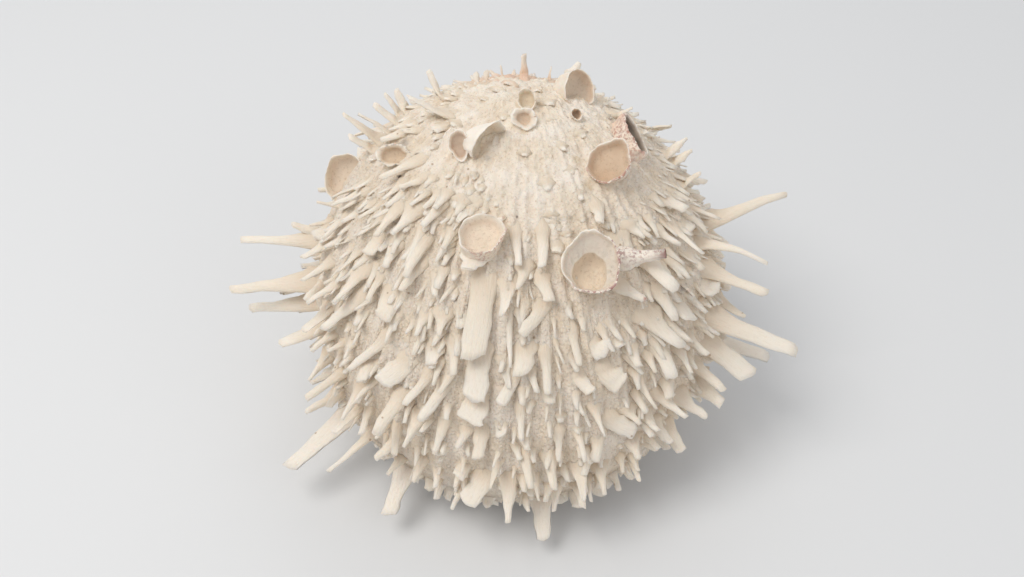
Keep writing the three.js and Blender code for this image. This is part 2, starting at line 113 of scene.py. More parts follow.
# Spines seen one by one on the upper valve: fan angle, share of the way from umbo to margin, heading and
# pitch in degrees, length, width, tip share, curl, flare of the foot
UPPER_HEROES = (
    (172, 0.97, 183, 5, 27, 3.8, 0.7, -0.08, 2.4),
    (170, 0.97, 177, 18, 12, 3.6, 0.6, 0, 1.8),
    (184, 0.97, 190, 0, 28, 6.4, 0.4, 0.03, 1),
    (187, 0.99, 180, -10, 23, 5, 0.6, 0, 1),
    (194, 0.99, 203, -8, 10, 2.2, 0.7, 0, 1),
    (211, 1, 216, -3, 13, 3.3, 0.5, 0, 1),
    (229, 0.98, 224, -15, 20, 2.4, 0.6, 0, 1.2),
    (236, 0.97, 226, -12, 10, 3.2, 0.7, 0, 0.8),
    (244, 0.98, 247, -18, 8, 2.8, 0.5, 0, 0.8),
    (262, 0.97, 233, -25, 11, 6.5, 0.9, 0, 0.3),
    (268, 0.97, 271, -28, 14, 4.7, 0.35, 0, 0.5),
    (275, 0.97, 280, -32, 8, 2.2, 0.4, 0, 0.8),
    (281, 0.99, 264, -32, 8, 3, 0.4, 0, 0.8),
    (301, 1, 310, -22, 5, 3, 0.6, 0, 0.6),
    (308, 0.99, 324, -22, 5, 3, 0.5, 0, 0.6),
    (311, 0.97, 310, -22, 9, 4.3, 0.5, 0, 0.6),
    (316, 0.99, 297, -22, 11, 4, 0.9, 0, 0.4),
    (314, 0.93, 318, -18, 12, 3.8, 0.4, 0, 0.8),
    (321, 0.97, 325, -15, 12, 4.8, 0.4, 0, 0.9),
    (12, 0.96, 2, 32, 28, 4.4, 0.5, -0.3, 2.4),
    (357, 0.88, 336, 32, 19, 3.4, 0.45, -0.62, 2),
    (352, 0.9, 332, -5, 22, 3.8, 0.8, -0.03, 2),
    (343, 0.95, 340, -10, 30, 5.8, 0.8, -0.05, 1.2),
    (339, 0.97, 324, -20, 19, 5.8, 1.25, -0.04, 0.8),
    (34, 0.75, 335, 22, 11, 4, 0.5, 0, 1),
    (20, 0.76, 22, 30, 10, 4, 0.3, 0, 1.4),
    (19, 0.79, 10, 30, 9, 4.6, 0.3, 0, 1.4),
    (13, 0.82, 2, 30, 8, 4.4, 0.3, 0, 1.4),
    (24, 0.51, 6, 20, 6, 2.4, 0.4, 0, 1),
    (326, 0.99, 341, -12, 5, 2.8, 0.6, 0, 0.6),
    (150, 0.44, 135, 48, 10, 2.8, 0.7, 0, 1),
    (178, 0.37, 185, 38, 13, 6.4, 0.3, -0.1, 0.9),
    (145, 0.66, 138, 42, 9, 4, 0.5, 0, 1.2),
    (140, 0.75, 150, 38, 10, 3.4, 0.5, 0, 1.2),
    (154, 0.64, 166, 32, 11, 4.6, 0.5, 0, 1),
    (155, 0.74, 167, 32, 15, 5, 0.5, 0, 1.2),
    (159, 0.65, 182, 32, 13, 4.4, 0.45, 0, 1),
    (160, 0.74, 176, 28, 10, 4.8, 0.6, 0, 0.5),
    (170, 0.88, 187, 12, 8, 2, 0.4, 0, 1),
    (90, 0.05, 98, 58, 8, 2.6, 0.95, 0, 0.4),
    (67, 0.34, 60, 55, 5, 1.6, 0.6, 0, 0.6),
    (138, 0.13, 118, 55, 5, 1.2, 0.6, 0, 0.8),
    (145, 0.26, 124, 45, 4.4, 2.8, 0.8, 0, 0.5),
    (139, 0.23, 110, 55, 4, 2.3, 0.8, 0, 0.5),
    (255, 0.61, 262, -38, 23, 7, 1.05, 0.02, 0.2),
    (257, 0.75, 262, -45, 15, 6.8, 1, 0.05, 0.1),
    (258, 0.84, 247, -38, 8, 7.2, 1.2, 0.08, 0),
    (227, 0.65, 230, -23, 10, 3.3, 0.6, 0, 0.6),
    (209, 0.82, 195, -38, 17, 4.6, 0.55, -0.05, 0.5),
    (225, 0.82, 198, -38, 17, 3.7, 0.5, -0.03, 0.6),
    (234, 0.83, 210, -33, 11, 6.8, 0.9, 0, 0.1),
    (242, 0.83, 222, -34, 12, 3, 0.7, 0, 0.6),
    (248, 0.83, 225, -38, 14, 3.7, 0.7, 0, 0.5),
    (266, 0.66, 271, -41, 17, 2.1, 0.5, 0.03, 0.6),
    (279, 0.66, 237, -17, 11, 4, 0.8, -0.08, 0.5),
    (279, 0.6, 287, -16, 8.5, 4, 0.8, -0.06, 0.5),
    (267, 0.5, 277, -16, 11, 2.7, 0.7, -0.05, 0.6),
    (281, 0.5, 271, -19, 12, 3, 0.9, -0.04, 0.6),
    (289, 0.72, 283, -32, 11, 2.7, 0.7, 0, 0.6),
    (289, 0.81, 308, -21, 7, 4.2, 0.8, 0, 0.4),
    (298, 0.82, 328, -29, 7.5, 7, 1, 0, 0),
    (295, 0.76, 328, -10, 6, 7, 1, -0.1, 0),
    (297, 0.91, 350, -32, 10, 6.2, 0.8, 0, 0.2),
    (323, 0.82, 332, -28, 11.5, 3.7, 0.4, 0, 0.8),
    (269, 0.79, 243, -31, 10, 3.6, 0.9, 0, 0.4),
    (279, 0.75, 276, -38, 12.4, 3, 0.7, 0, 0.5),
    (260, 0.9, 260, -41, 8.4, 4.2, 0.8, 0, 0.3),
    (249, 0.9, 242, -47, 10, 3.3, 0.5, 0, 0.5),
    (271, 0.85, 270, -41, 10, 2.7, 0.5, 0, 0.6),
    (282, 0.9, 272, -47, 9.5, 2.7, 0.5, 0, 0.6),
    (310, 0.68, 324, -8, 10, 5.4, 0.3, -0.05, 0.3),
    (196, 0.49, 205, -8, 13, 3.6, 0.5, -0.06, 0.7),
    (207, 0.5, 207, -2, 8, 2.6, 0.5, -0.05, 0.7),
    (313, 0.5, 278, 4, 8, 4, 0.6, -0.1, 0.4),
)

# Spines of the outline on the lower valve: fan angle, heading, pitch, length, width, tip share
LOWER_HEROES = (
    (216, 223, -15, 27, 6.6, 0.8),
    (238, 250, -20, 17, 5.6, 0.8),
    (277, 274, -22, 14, 5.3, 0.8),
    (287, 275, -15, 7, 4, 0.9),
    (293, 285, -15, 6, 5, 0.9),
    (347, 346, -10, 22, 5.6, 1),
)

# Share of its height that a cemented shell is sunk into the valve
CUP_SUNK = 0.5

# Dead shells cemented on the upper valve: fan angle, share from umbo to margin, heading and pitch of the
# opening, half length, half width, height, wall and depth of the hollow
CUPS = {
    "large_cup_right": (301, 0.622, 265, 56, 7.6, 9, 8, 1, 6.5),
    "cup_left": (251, 0.544, 275, 70, 6.3, 6, 6.5, 0.7, 3.4),
    "cup_upper_right": (334, 0.458, 255, 48, 5.9, 6.2, 7, 0.8, 3.4),
    "cup_skyline": (24, 0.25, 296, 36, 5.1, 6.2, 8, 0.7, 5),
    "ring_top": (275, 0.138, 265, 48, 2.7, 3.2, 3, 0.5, 2.2),
    "ring_middle": (268, 0.205, 285, 48, 3.8, 3.4, 3, 1.5, 1.8),
    "tube_end": (340, 0.263, 280, 40, 1.6, 1.8, 3, 0.5, 2.2),
    "spout_cup": (216, 0.355, 262, 48, 3.3, 3.2, 4.4, 0.7, 1.7),
    "brown_cup_left": (179, 0.59, 265, 40, 5.5, 3.2, 4.6, 0.9, 2.4),
    "fan_left": (157, 0.915, 245, 34, 6.4, 7.8, 5, 0.6, 4),
    "hood_scale": (228, 0.306, 316, 26, 7, 4.4, 5, 0.6, 4.2),
    "crust_right": (316, 0.646, 352, 14, 1.1, 1.1, 12.5, 0.4, 1.4),
    "plate_upper_right": (0, 0.5, 354, 50, 8.2, 2.7, 4.6, 0.7, 3),
}

# Worn shapes of the cemented shells, angles in degrees from the right as one looks into the opening: roll
# about the opening, base and ledge radii as shares of the rim, shift of the hollow, a drawn-out point
# (angle, share, spread), a notch (angle, depth, spread), a slant of the rim (angle, height), ragged edge,
# a stain (angle, spread), and how lumpy the outside is
CUP_DETAILS = {
    "large_cup_right": dict(ledge=0.7, shift=(-0.04, -0.24), slant=(95, 1.2), ragged=0.5, stain=(-35, 75)),
    "cup_left": dict(base=0.8, slant=(60, 0.8), ragged=0.15, stain=(-60, 55)),
    "cup_upper_right": dict(base=0.85, point=(62, 0.32, 26), notch=(125, 1.9, 30), ragged=0.3,
                            stain=(-60, 80)),
    "cup_skyline": dict(base=0.85, slant=(150, 1.2), ragged=0.2, stain=(-110, 45)),
    "ring_top": dict(point=(95, 0.2, 40), ragged=0.12),
    "ring_middle": dict(ragged=0.5),
    "tube_end": dict(ragged=0.1),
    "spout_cup": dict(point=(-75, 0.75, 26), slant=(105, 0.8), ragged=0.12),
    "brown_cup_left": dict(ragged=0.4, stain=(20, 90), lumpy=1.7),
    "fan_left": dict(point=(152, 0.2, 30), notch=(-15, 2, 40), ragged=0.35),
    "hood_scale": dict(slant=(90, 2.2), notch=(-90, 3, 60), ragged=0.15),
    "crust_right": dict(base=4.2, ragged=0.1, stain=(95, 85), lumpy=2.4),
    "plate_upper_right": dict(base=1.1, roll=34, ragged=0.4, stain=(90, 80), lumpy=1.7),
}

# Finishes, as linear colours
CREAM = (0.80, 0.70, 0.57, 1)
CHALK_WHITE = (0.88, 0.81, 0.72, 1)
TAN = (0.60, 0.46, 0.33, 1)
BROWN = (0.38, 0.26, 0.16, 1)
BLUSH = (0.80, 0.50, 0.36, 1)
MAROON = (0.30, 0.08, 0.08, 1)
RUST = (0.42, 0.15, 0.10, 1)
WINE = (0.42, 0.17, 0.13, 1)
PINK_CRUST = (0.77, 0.60, 0.48, 1)
GREY_CRUST = (0.45, 0.40, 0.35, 1)
OCHRE = (0.56, 0.42, 0.24, 1)
DARK = (0.05, 0.025, 0.015, 1)

# Stains seen one by one on the upper valve, and ochre spots that are partly painted shadow: place and radius
DARK_SPOTS = (
    (-38.3, -11.4, 78.4, 0.7), (-44.8, 1, 77, 1.6), (-47.3, 13.3, 75.7, 1.5), (-33.6, -3.4, 84.3, 1.2),
    (-28.9, 1.2, 88.9, 1), (15.4, 11.2, 95.7, 0.7), (0.4, -22.8, 84.9, 0.5),
)
RUST_SPOTS = (
    (4.4, -66.1, 28, 0.9), (35.9, -38.4, 68.3, 0.8), (50.7, -26.1, 59.7, 1.5), (-3.5, -23, 84.7, 0.6),
    (-47.9, -1.2, 73, 0.8),
)
# Ochre spots: the two beside the base of cup_upper_right are partly painted shadow of that shell, partly an
# olive stain.
OCHRE_AND_SHADOW_SPOTS = (
    (2.5, 2.9, 96.4, 1.8), (20.5, -11.9, 87.8, 2.4), (17.9, -4.4, 91.8, 2.2), (37, -19.4, 75.7, 3),
)
GREY_SPOTS = (
    (-8.1, -6.5, 93.6, 1.6), (-40.2, -23.3, 70.4, 1.2), (-28.1, -40.1, 63.8, 1.6), (48.8, -24.5, 59.9, 2),
    (-33.6, 8.7, 87.9, 3.5),
)

# Colours of the cemented shells: inner wall, bottom of the hollow, outside, stain, and the rim if not white
# The inner wall and bottom are partly the shells' own tan and partly painted shade inside the hollows.
CUP_COLOURS = {
    "large_cup_right": ((0.70, 0.60, 0.49, 1), (0.77, 0.65, 0.51, 1), CREAM, MAROON),
    "cup_left": ((0.82, 0.74, 0.64, 1), (0.81, 0.69, 0.56, 1), CREAM, RUST),
    "cup_upper_right": ((0.58, 0.42, 0.29, 1), (0.62, 0.45, 0.31, 1), CREAM, RUST),
    "cup_skyline": ((0.62, 0.47, 0.35, 1), (0.74, 0.64, 0.53, 1), CREAM, RUST),
    "ring_top": ((0.72, 0.63, 0.50, 1), (0.68, 0.58, 0.44, 1), CREAM, TAN),
    "ring_middle": ((0.74, 0.63, 0.51, 1), (0.66, 0.51, 0.38, 1), CHALK_WHITE, TAN),
    "tube_end": ((0.58, 0.44, 0.31, 1), (0.38, 0.25, 0.16, 1), CREAM, TAN),
    "spout_cup": ((0.72, 0.61, 0.50, 1), (0.54, 0.40, 0.30, 1), CHALK_WHITE, TAN),
    "brown_cup_left": ((0.78, 0.66, 0.53, 1), (0.68, 0.54, 0.40, 1), CREAM, GREY_CRUST),
    "fan_left": ((0.76, 0.67, 0.56, 1), (0.74, 0.62, 0.50, 1), CREAM, TAN),
    "hood_scale": ((0.84, 0.77, 0.66, 1), (0.78, 0.68, 0.54, 1), CHALK_WHITE, TAN),
    "crust_right": ((0.10, 0.03, 0.015, 1), (0.04, 0.012, 0.006, 1), CHALK_WHITE, MAROON, DARK),
    "plate_upper_right": ((0.10, 0.055, 0.03, 1), (0.025, 0.013, 0.008, 1), PINK_CRUST, WINE),
}


# Placement

def chance(rib, row, use):
    """A repeatable value from 0 to 1 for a rib, a row and a use."""
    value = math.sin(rib * 127.1 + row * 311.7 + use * 74.7) * 43758.5453
    return value - math.floor(value)


def by_angle(values, angle):
    """A value given at every eighth of the circle, blended between."""
    eighth = (angle % (2 * math.pi)) / (math.pi / 4)
    index = int(eighth) % 8
    return values[index] + (values[(index + 1) % 8] - values[index]) * (eighth - int(eighth))


def smoothstep(value, low, high):
    """0 up to a low value and 1 from a high one, eased between."""
    share = np.clip((value - low) / (high - low), 0, 1)
    return share * share * (3 - 2 * share)


def unit(vectors):
    return vectors / np.linalg.norm(vectors, axis=-1, keepdims=True)


def heading_vector(heading, pitch):
    """A direction from its heading and its pitch above level, in degrees."""
    level = math.cos(math.radians(pitch))
    turn = math.radians(heading)
    return np.array((level * math.cos(turn), level * math.sin(turn), math.sin(math.radians(pitch))))


def disc_point(angle, share):
    """A point of the margin's disc on the way from the umbo (0) to the margin (1)."""
    x = UMBO[0] + share * (np.cos(angle) - UMBO[0])
    y = UMBO[1] + share * (np.sin(angle) - UMBO[1])
    return x, y


def from_margin_plane(x, y, rise):
    """A point of the margin's disc, raised over the tilted margin. Adding 0 * along gives x its shape."""
    along = y * SHELL_HEIGHT / 2
    sine, cosine = math.sin(MARGIN_TILT), math.cos(MARGIN_TILT)
    return np.stack((
        x * SHELL_LENGTH / 2 + 0 * along,
        along * cosine - rise * sine,
        along * sine + rise * cosine + MARGIN_LIFT,
    ), axis=-1)


def dome_rise(x, y):
    """Height of the upper valve over its margin."""
    ring = np.minimum(1, np.hypot(x, y))
    return DOME_RISE * (1 - ring ** DOME_FLATNESS) ** DOME_SHOULDER * (1 + DOME_LEAN * y)


def dome_point(angle, share):
    """A point on the outside of the upper valve, from its umbo (0) to its margin (1)."""
    x, y = disc_point(angle, share)
    return from_margin_plane(x, y, dome_rise(x, y) + SEAM / 2)


def dome_frame(angle, share):
    """Point, direction along the rib, direction out of the surface, and outward level with the margin."""
    step = 0.004
    inner = np.clip(share, step, 1 - 2 * step)
    point = dome_point(angle, share)
    along = unit(dome_point(angle, inner + step) - dome_point(angle, inner - step))
    sideways = dome_point(angle + step, inner) - dome_point(angle - step, inner)
    out = unit(np.cross(along, sideways))
    centre = np.array((0, 0, MARGIN_LIFT))
    out = np.where(np.sum(out * (point - centre), axis=-1, keepdims=True) < 0, -out, out)
    edge_x, edge_y = disc_point(angle, 1.0)
    level = from_margin_plane(edge_x - UMBO[0], edge_y - UMBO[1], 0) - from_margin_plane(0, 0, 0)
    return point, along, out, unit(level)


def bowl_point(angle, share):
    """A point on the outside of the lower valve, from its margin (0) down to its scar (1)."""
    x, y = disc_point(angle, 1.0)
    margin = from_margin_plane(x, y, -SEAM / 2)
    scar_x = np.cos(angle) * SCAR_LENGTH / 2
    scar_y = np.sin(angle) * SCAR_WIDTH / 2
    tuck = (1 - share) ** BOWL_TUCK
    return np.stack((
        scar_x + (margin[..., 0] - scar_x) * tuck,
        scar_y + (margin[..., 1] - scar_y) * tuck,
        margin[..., 2] * (1 - share) ** BOWL_DROP,
    ), axis=-1)


def rib_angle(rib):
    return 2 * math.pi * (rib + 0.5 * chance(rib, 0, 1)) / RIBS


def roughness_at(points, size, octaves):
    """Fractal noise at points, with lumps of about a size."""
    return np.fromiter(
        (noise.fractal(Vector(point), 1.0, 2.0, octaves) for point in (points / size).tolist()),
        float, len(points))


# Spines

def spine(root, along, out, direction, length, width, tip, **more):
    """One spine: it leaves the rib along the surface, bends to its direction and ends at a worn tip."""
    facts = dict(root=root, along=along, out=out, direction=direction, length=length, width=width, tip=tip,
                 curl=0.0, sway=0.0, twist=0.0, fold=1.0, flare=0.6, spread=0.0, jag=0.05, lead=4.5,
                 blush=0.0, seed=chance(root[0], root[1], 0))
    facts.update(more)
    return facts


def blush_at(point):
    """The pink of the old spines beside the umbo."""
    distance = np.linalg.norm(point - BLUSH_CENTRE)
    return BLUSH_SHARE * float(1 - smoothstep(distance, *BLUSH_REACH))


def spine_seat(angle, share):
    """Where a spine stands on the upper valve: point, run of the rib, and the side its flat face turns to."""
    point, along, out, level = dome_frame(angle, share)
    near_margin = float(smoothstep(share, 0.8, 1))
    return (point, unit(along + (level - along) * near_margin), unit(out + (MARGIN_UP - out) * near_margin),
            level)


def upper_heroes():
    """The spines of the upper valve that are seen one by one."""
    spines = []
    for number, (fan, share, heading, pitch, length, width, tip, curl, flare) in enumerate(UPPER_HEROES):
        point, along, out, _ = spine_seat(math.radians(fan), share)
        spines.append(spine(point, along, out, heading_vector(heading, pitch), length, width, tip, curl=curl,
                            flare=flare, jag=0.02 + 0.05 * tip, lead=5.0, blush=blush_at(point),
                            sway=0.07 * (chance(number, 1, 17) - 0.5),
                            twist=0.5 * (chance(number, 1, 18) - 0.5)))
    return spines


def turned(vector, axis, angle):
    """A vector turned about an axis."""
    return (vector * math.cos(angle) + np.cross(axis, vector) * math.sin(angle)
            + axis * np.dot(axis, vector) * (1 - math.cos(angle)))


def outward_lean(share):
    """How far a spine turns from the run of its rib to level with the margin."""
    return 0.3 + 0.4 * share ** 4


def rib_spine(rib, row, angle, share, fullness):
    """A spine of a rib's row: one in five is a short broad scale and one in four widens to its tip."""
    point, along, out, level = spine_seat(angle, share)
    direction = unit(along + (level - along) * outward_lean(share))
    direction = unit(direction + out * (0.15 + 0.3 * chance(rib, row, 4)))
    direction = turned(direction, out, math.radians(34) * (chance(rib, row, 5) - 0.5))
    strong = 1.3 if chance(rib, row, 6) > 0.7 else 1
    length = by_angle(SPINE_LENGTHS, angle) * (0.65 + 0.6 * chance(rib, row, 7)) * fullness * strong
    width = (2.1 + 1.5 * chance(rib, row, 8)) * strong * by_angle(SPINE_WIDTHS, angle)
    tip = 0.25 + 0.45 * chance(rib, row, 9)
    kind = chance(rib, row, 30)
    shape = dict(flare=0.7 + 0.8 * chance(rib, row, 31))
    if kind > 0.8:
        width, length, tip = 1.7 * width, 0.6 * length, 0.7 + 0.4 * chance(rib, row, 32)
        shape = dict(flare=0.3, jag=0.08)
    elif kind > 0.55:
        shape = dict(flare=0.6, spread=0.05 + 0.2 * chance(rib, row, 32), jag=0.06)
    return spine(
        point, along, out, direction, length, min(width, WIDEST_SPINE), tip,
        curl=0.16 * (chance(rib, row, 16) - 0.6),
        sway=0.2 * (chance(rib, row, 17) - 0.5),
        twist=1.1 * (chance(rib, row, 18) - 0.5),
        fold=-1.0 if chance(rib, row, 19) > 0.85 else 1.0,
        blush=blush_at(point), **shape)


def rib_shares(angle):
    """Shares from umbo to margin, and how far along the rib each lies."""
    shares = np.linspace(0, 1, 41)
    points = dome_point(np.full(41, angle), shares)
    strides = np.linalg.norm(np.diff(points, axis=0), axis=1)
    return shares, np.concatenate(((0,), np.cumsum(strides)))


def near(point, others, reach):
    """Whether a point is within reach of another."""
    return any(np.linalg.norm(point - other) < reach for other in others)


def covered(thorn):
    """Whether a spine would run into a cemented shell or across its opening."""
    places = [thorn["root"] - thorn["along"] * thorn["lead"]]
    places += [thorn["root"] + thorn["direction"] * thorn["length"] * reach for reach in (0, 0.5, 1)]
    for name, sizes in CUPS.items():
        half_length, half_width, height = sizes[4:7]
        root, _, _, up = cup_seat(sizes)
        drawn_out = CUP_DETAILS[name].get("point", (0, 0, 0))[1]
        highest = (1 + CUP_SUNK) * height + ABOVE_CUP
        widest = max(half_length, half_width) * (1 + drawn_out) + BESIDE_CUP
        for place in places:
            level = np.dot(place - root, up)
            apart = np.linalg.norm(place - root - level * up)
            if -BELOW_CUP < level < highest and apart < widest:
                return True
    return False


def under_blade(thorn, heroes):
    """Whether a spine would stand under a blade that is seen by itself."""
    for hero in heroes:
        for reach in (0, 0.2, 0.4, 0.6, 0.8):
            place = hero["root"] + hero["direction"] * hero["length"] * reach
            if np.linalg.norm(thorn["root"] - place) < hero["width"] / 2 + BLADE_CLEARANCE:
                return True
    return False


def upper_spines(heroes):
    """The rows of spines up the ribs, with room left for those that are seen one by one."""
    roots = [hero["root"] for hero in heroes]
    spines = []
    for rib in range(RIBS):
        angle = rib_angle(rib)
        shares, lengths = rib_shares(angle)
        bare = by_angle(BARE_LENGTHS, angle)
        distance = lengths[-1] - (FIRST_ROW + (rib % 2) * ROW_SPACING / 2 + 2 * chance(rib, 0, 2))
        row = 0
        while distance > bare:
            fullness = 0.6 + 0.4 * float(smoothstep(distance, bare, bare + 25))
            share = float(np.interp(distance, lengths, shares))
            thorn = rib_spine(rib, row, angle, share, fullness)
            if not (near(thorn["root"], roots, HERO_SPACING) or under_blade(thorn, heroes) or covered(thorn)):
                spines.append(thorn)
            distance -= ROW_SPACING * (0.85 + 0.3 * chance(rib, row, 3))
            row += 1
    return spines


def upper_scales(heroes):
    """Small blunt scales and fine needles on the ribs between the rows of spines."""
    scales = []
    for rib in range(2 * RIBS):
        angle = rib_angle(rib / 2) + math.radians(1.2) * (chance(rib, 0, 20) - 0.5)
        shares, lengths = rib_shares(angle)
        distance = lengths[-1] - 1 - 5 * chance(rib, 0, 21)
        bare = by_angle(BARE_LENGTHS, angle)
        row = 0
        while distance > bare - 4:
            share = float(np.interp(distance, lengths, shares))
            point, along, out, level = spine_seat(angle, share)
            grown = float(smoothstep(distance, bare - 6, bare + 12))
            direction = unit(along + (level - along) * outward_lean(share))
            direction = unit(direction + out * (0.1 + 0.3 * chance(rib, row, 22)))
            direction = turned(direction, out, math.radians(40) * (chance(rib, row, 23) - 0.5))
            facts = dict(lead=2.5, blush=blush_at(point), curl=0.2 * (chance(rib, row, 27) - 0.5))
            kind = chance(rib, row, 29)
            longer, wider = chance(rib, row, 25), chance(rib, row, 26)
            if kind > 0.68 and grown > 0.8:
                length, width, facts["flare"] = 4.5 + 4 * longer, 2 + 1.3 * wider, 0.8
            elif kind > 0.35 or grown < 0.6:
                length, width = (1.6 + 4 * longer) * (0.4 + 0.6 * grown), 1.5 + 1.6 * wider
            else:
                length, width, facts["flare"] = 3 + 4 * longer, 0.9 + 0.9 * wider, 0.8
            tip = 0.35 + 0.4 * chance(rib, row, 33)
            thorn = spine(point, along, out, direction, length, width, tip, **facts)
            if chance(rib, row, 24) > SCALE_GAPS and not under_blade(thorn, heroes) and not covered(thorn):
                scales.append(thorn)
            distance -= 3.6 + 2.6 * chance(rib, row, 28)
            row += 1
    return scales


def worn_stubs():
    """Low stumps of old spines on the worn part of the upper valve."""
    stubs, roots = [], []
    for rib in range(0, RIBS, 2):
        angle = rib_angle(rib) + math.radians(5) * (chance(rib, 0, 40) - 0.5)
        shares, lengths = rib_shares(angle)
        bare = by_angle(BARE_LENGTHS, angle)
        distance = bare - 3 - 4 * chance(rib, 0, 41)
        row = 0
        while distance > CLEAN_UMBO:
            share = float(np.interp(distance, lengths, shares))
            point, along, out, _ = spine_seat(angle, share)
            direction = unit(along + out * (0.2 + 0.5 * chance(rib, row, 42)))
            stub = spine(point - STUB_SINK * out, along, out, direction, 1.2 + 1.8 * chance(rib, row, 43),
                         2 + 1.6 * chance(rib, row, 44), 0.6, lead=4, flare=1.2, blush=blush_at(point))
            crowded = near(point, roots, STUB_SPACING) or covered(stub)
            if chance(rib, row, 45) > STUB_GAPS and not crowded:
                roots.append(point)
                stubs.append(stub)
            distance -= 5 + 5 * chance(rib, row, 46)
            row += 1
    return stubs


def lower_spines():
    """The spines of the lower valve: those of the outline, then rows that stay clear of the floor."""
    level = np.array((0.0, 0.0, 1.0))
    spines = [
        spine(bowl_point(math.radians(fan), LOWER_ROWS[0]), heading_vector(heading, 0), level,
              heading_vector(heading, pitch), length, width, tip, flare=0.7)
        for fan, heading, pitch, length, width, tip in LOWER_HEROES]
    for row, share in enumerate(LOWER_ROWS):
        for i in range(LOWER_COUNT):
            angle = 2 * math.pi * (i + 0.5 * (row % 2) + 0.5 * chance(i, row, 11)) / LOWER_COUNT
            root = bowl_point(angle, share)
            length = (1 - 0.3 * row) * by_angle(LOWER_LENGTHS, angle) * (0.7 + 0.6 * chance(i, row, 12))
            heading = math.degrees(math.atan2(root[1], root[0])) + 24 * (chance(i, row, 13) - 0.5)
            room = max(0, root[2] - FLOOR_CLEARANCE - LOWER_SPINE_DROOP)
            steepest = math.degrees(math.asin(min(1, room / length)))
            pitch = max(-steepest, 30 * chance(i, row, 14) - 22)
            if room > LEAST_ROOM and not near(root, [thorn["root"] for thorn in spines], HERO_SPACING):
                spines.append(spine(root, heading_vector(heading, 0), level, heading_vector(heading, pitch),
                                    length, 2.6 + 2 * chance(i, row, 15), 0.4 + 0.5 * chance(i, row, 16),
                                    flare=0.8, sway=0.16 * (chance(i, row, 17) - 0.5)))
    return spines


def lower_scales():
    """Leafy scales in rows up the lower valve."""
    scales = []
    for column in range(LOWER_SCALE_COLUMNS):
        for row in range(LOWER_SCALE_ROWS):
            turn = column + 0.5 * (row % 2) + 0.4 * chance(column, row, 50)
            angle = 2 * math.pi * turn / LOWER_SCALE_COLUMNS
            share = 0.02 + 0.8 * (row + 0.6 * chance(column, row, 51)) / LOWER_SCALE_ROWS
            root = bowl_point(angle, share)
            along = unit(root - bowl_point(angle, share + 0.02))
            sideways = bowl_point(angle + 0.02, share) - root
            out = unit(np.cross(sideways, along))
            direction = unit(0.3 * along + out * (0.5 + 0.6 * chance(column, row, 52)))
            direction = turned(direction, out, math.radians(40) * (chance(column, row, 53) - 0.5))
            scale = spine(root, along, out, direction, 2 + 2.8 * chance(column, row, 54),
                          2 + 2.8 * chance(column, row, 55), 0.5 + 0.6 * chance(column, row, 56),
                          lead=2.5, flare=0.6, curl=0.2 * (chance(column, row, 57) - 0.5))
            if chance(column, row, 58) > LOWER_SCALE_GAPS and root[2] > LOWEST_SCALE:
                scales.append(scale)
    return scales


def spine_blank(sides, cuts):
    """One closed blade blank: a tube of rings from root to tip."""
    bm = bmesh.new()
    bmesh.ops.create_cone(bm, cap_ends=True, segments=sides, radius1=1, radius2=1, depth=1)
    uprights = [edge for edge in bm.edges if abs(edge.verts[0].co.z - edge.verts[1].co.z) > 0.5]
    bmesh.ops.subdivide_edges(bm, edges=uprights, cuts=cuts)
    for face in bm.faces:
        face.smooth = len(face.verts) == 4
    blank = bpy.data.meshes.new("spine_blank")
    bm.to_mesh(blank)
    bm.free()
    return blank


def mesh_points(mesh):
    points = np.empty(len(mesh.vertices) * 3)
    mesh.vertices.foreach_get("co", points)
    return points.reshape(-1, 3)


def set_points(mesh, points):
    mesh.vertices.foreach_set("co", np.ascontiguousarray(points, float).ravel())
    mesh.update()


def paint(mesh, name, values):
    """A value for every vertex that the finish reads."""
    layer = mesh.attributes.new(name, "FLOAT", "POINT")
    layer.data.foreach_set("value", np.ascontiguousarray(values, np.float32).ravel())


def paint_vector(mesh, name, values):
    layer = mesh.attributes.new(name, "FLOAT_VECTOR", "POINT")
    layer.data.foreach_set("vector", np.ascontiguousarray(values, np.float32).ravel())


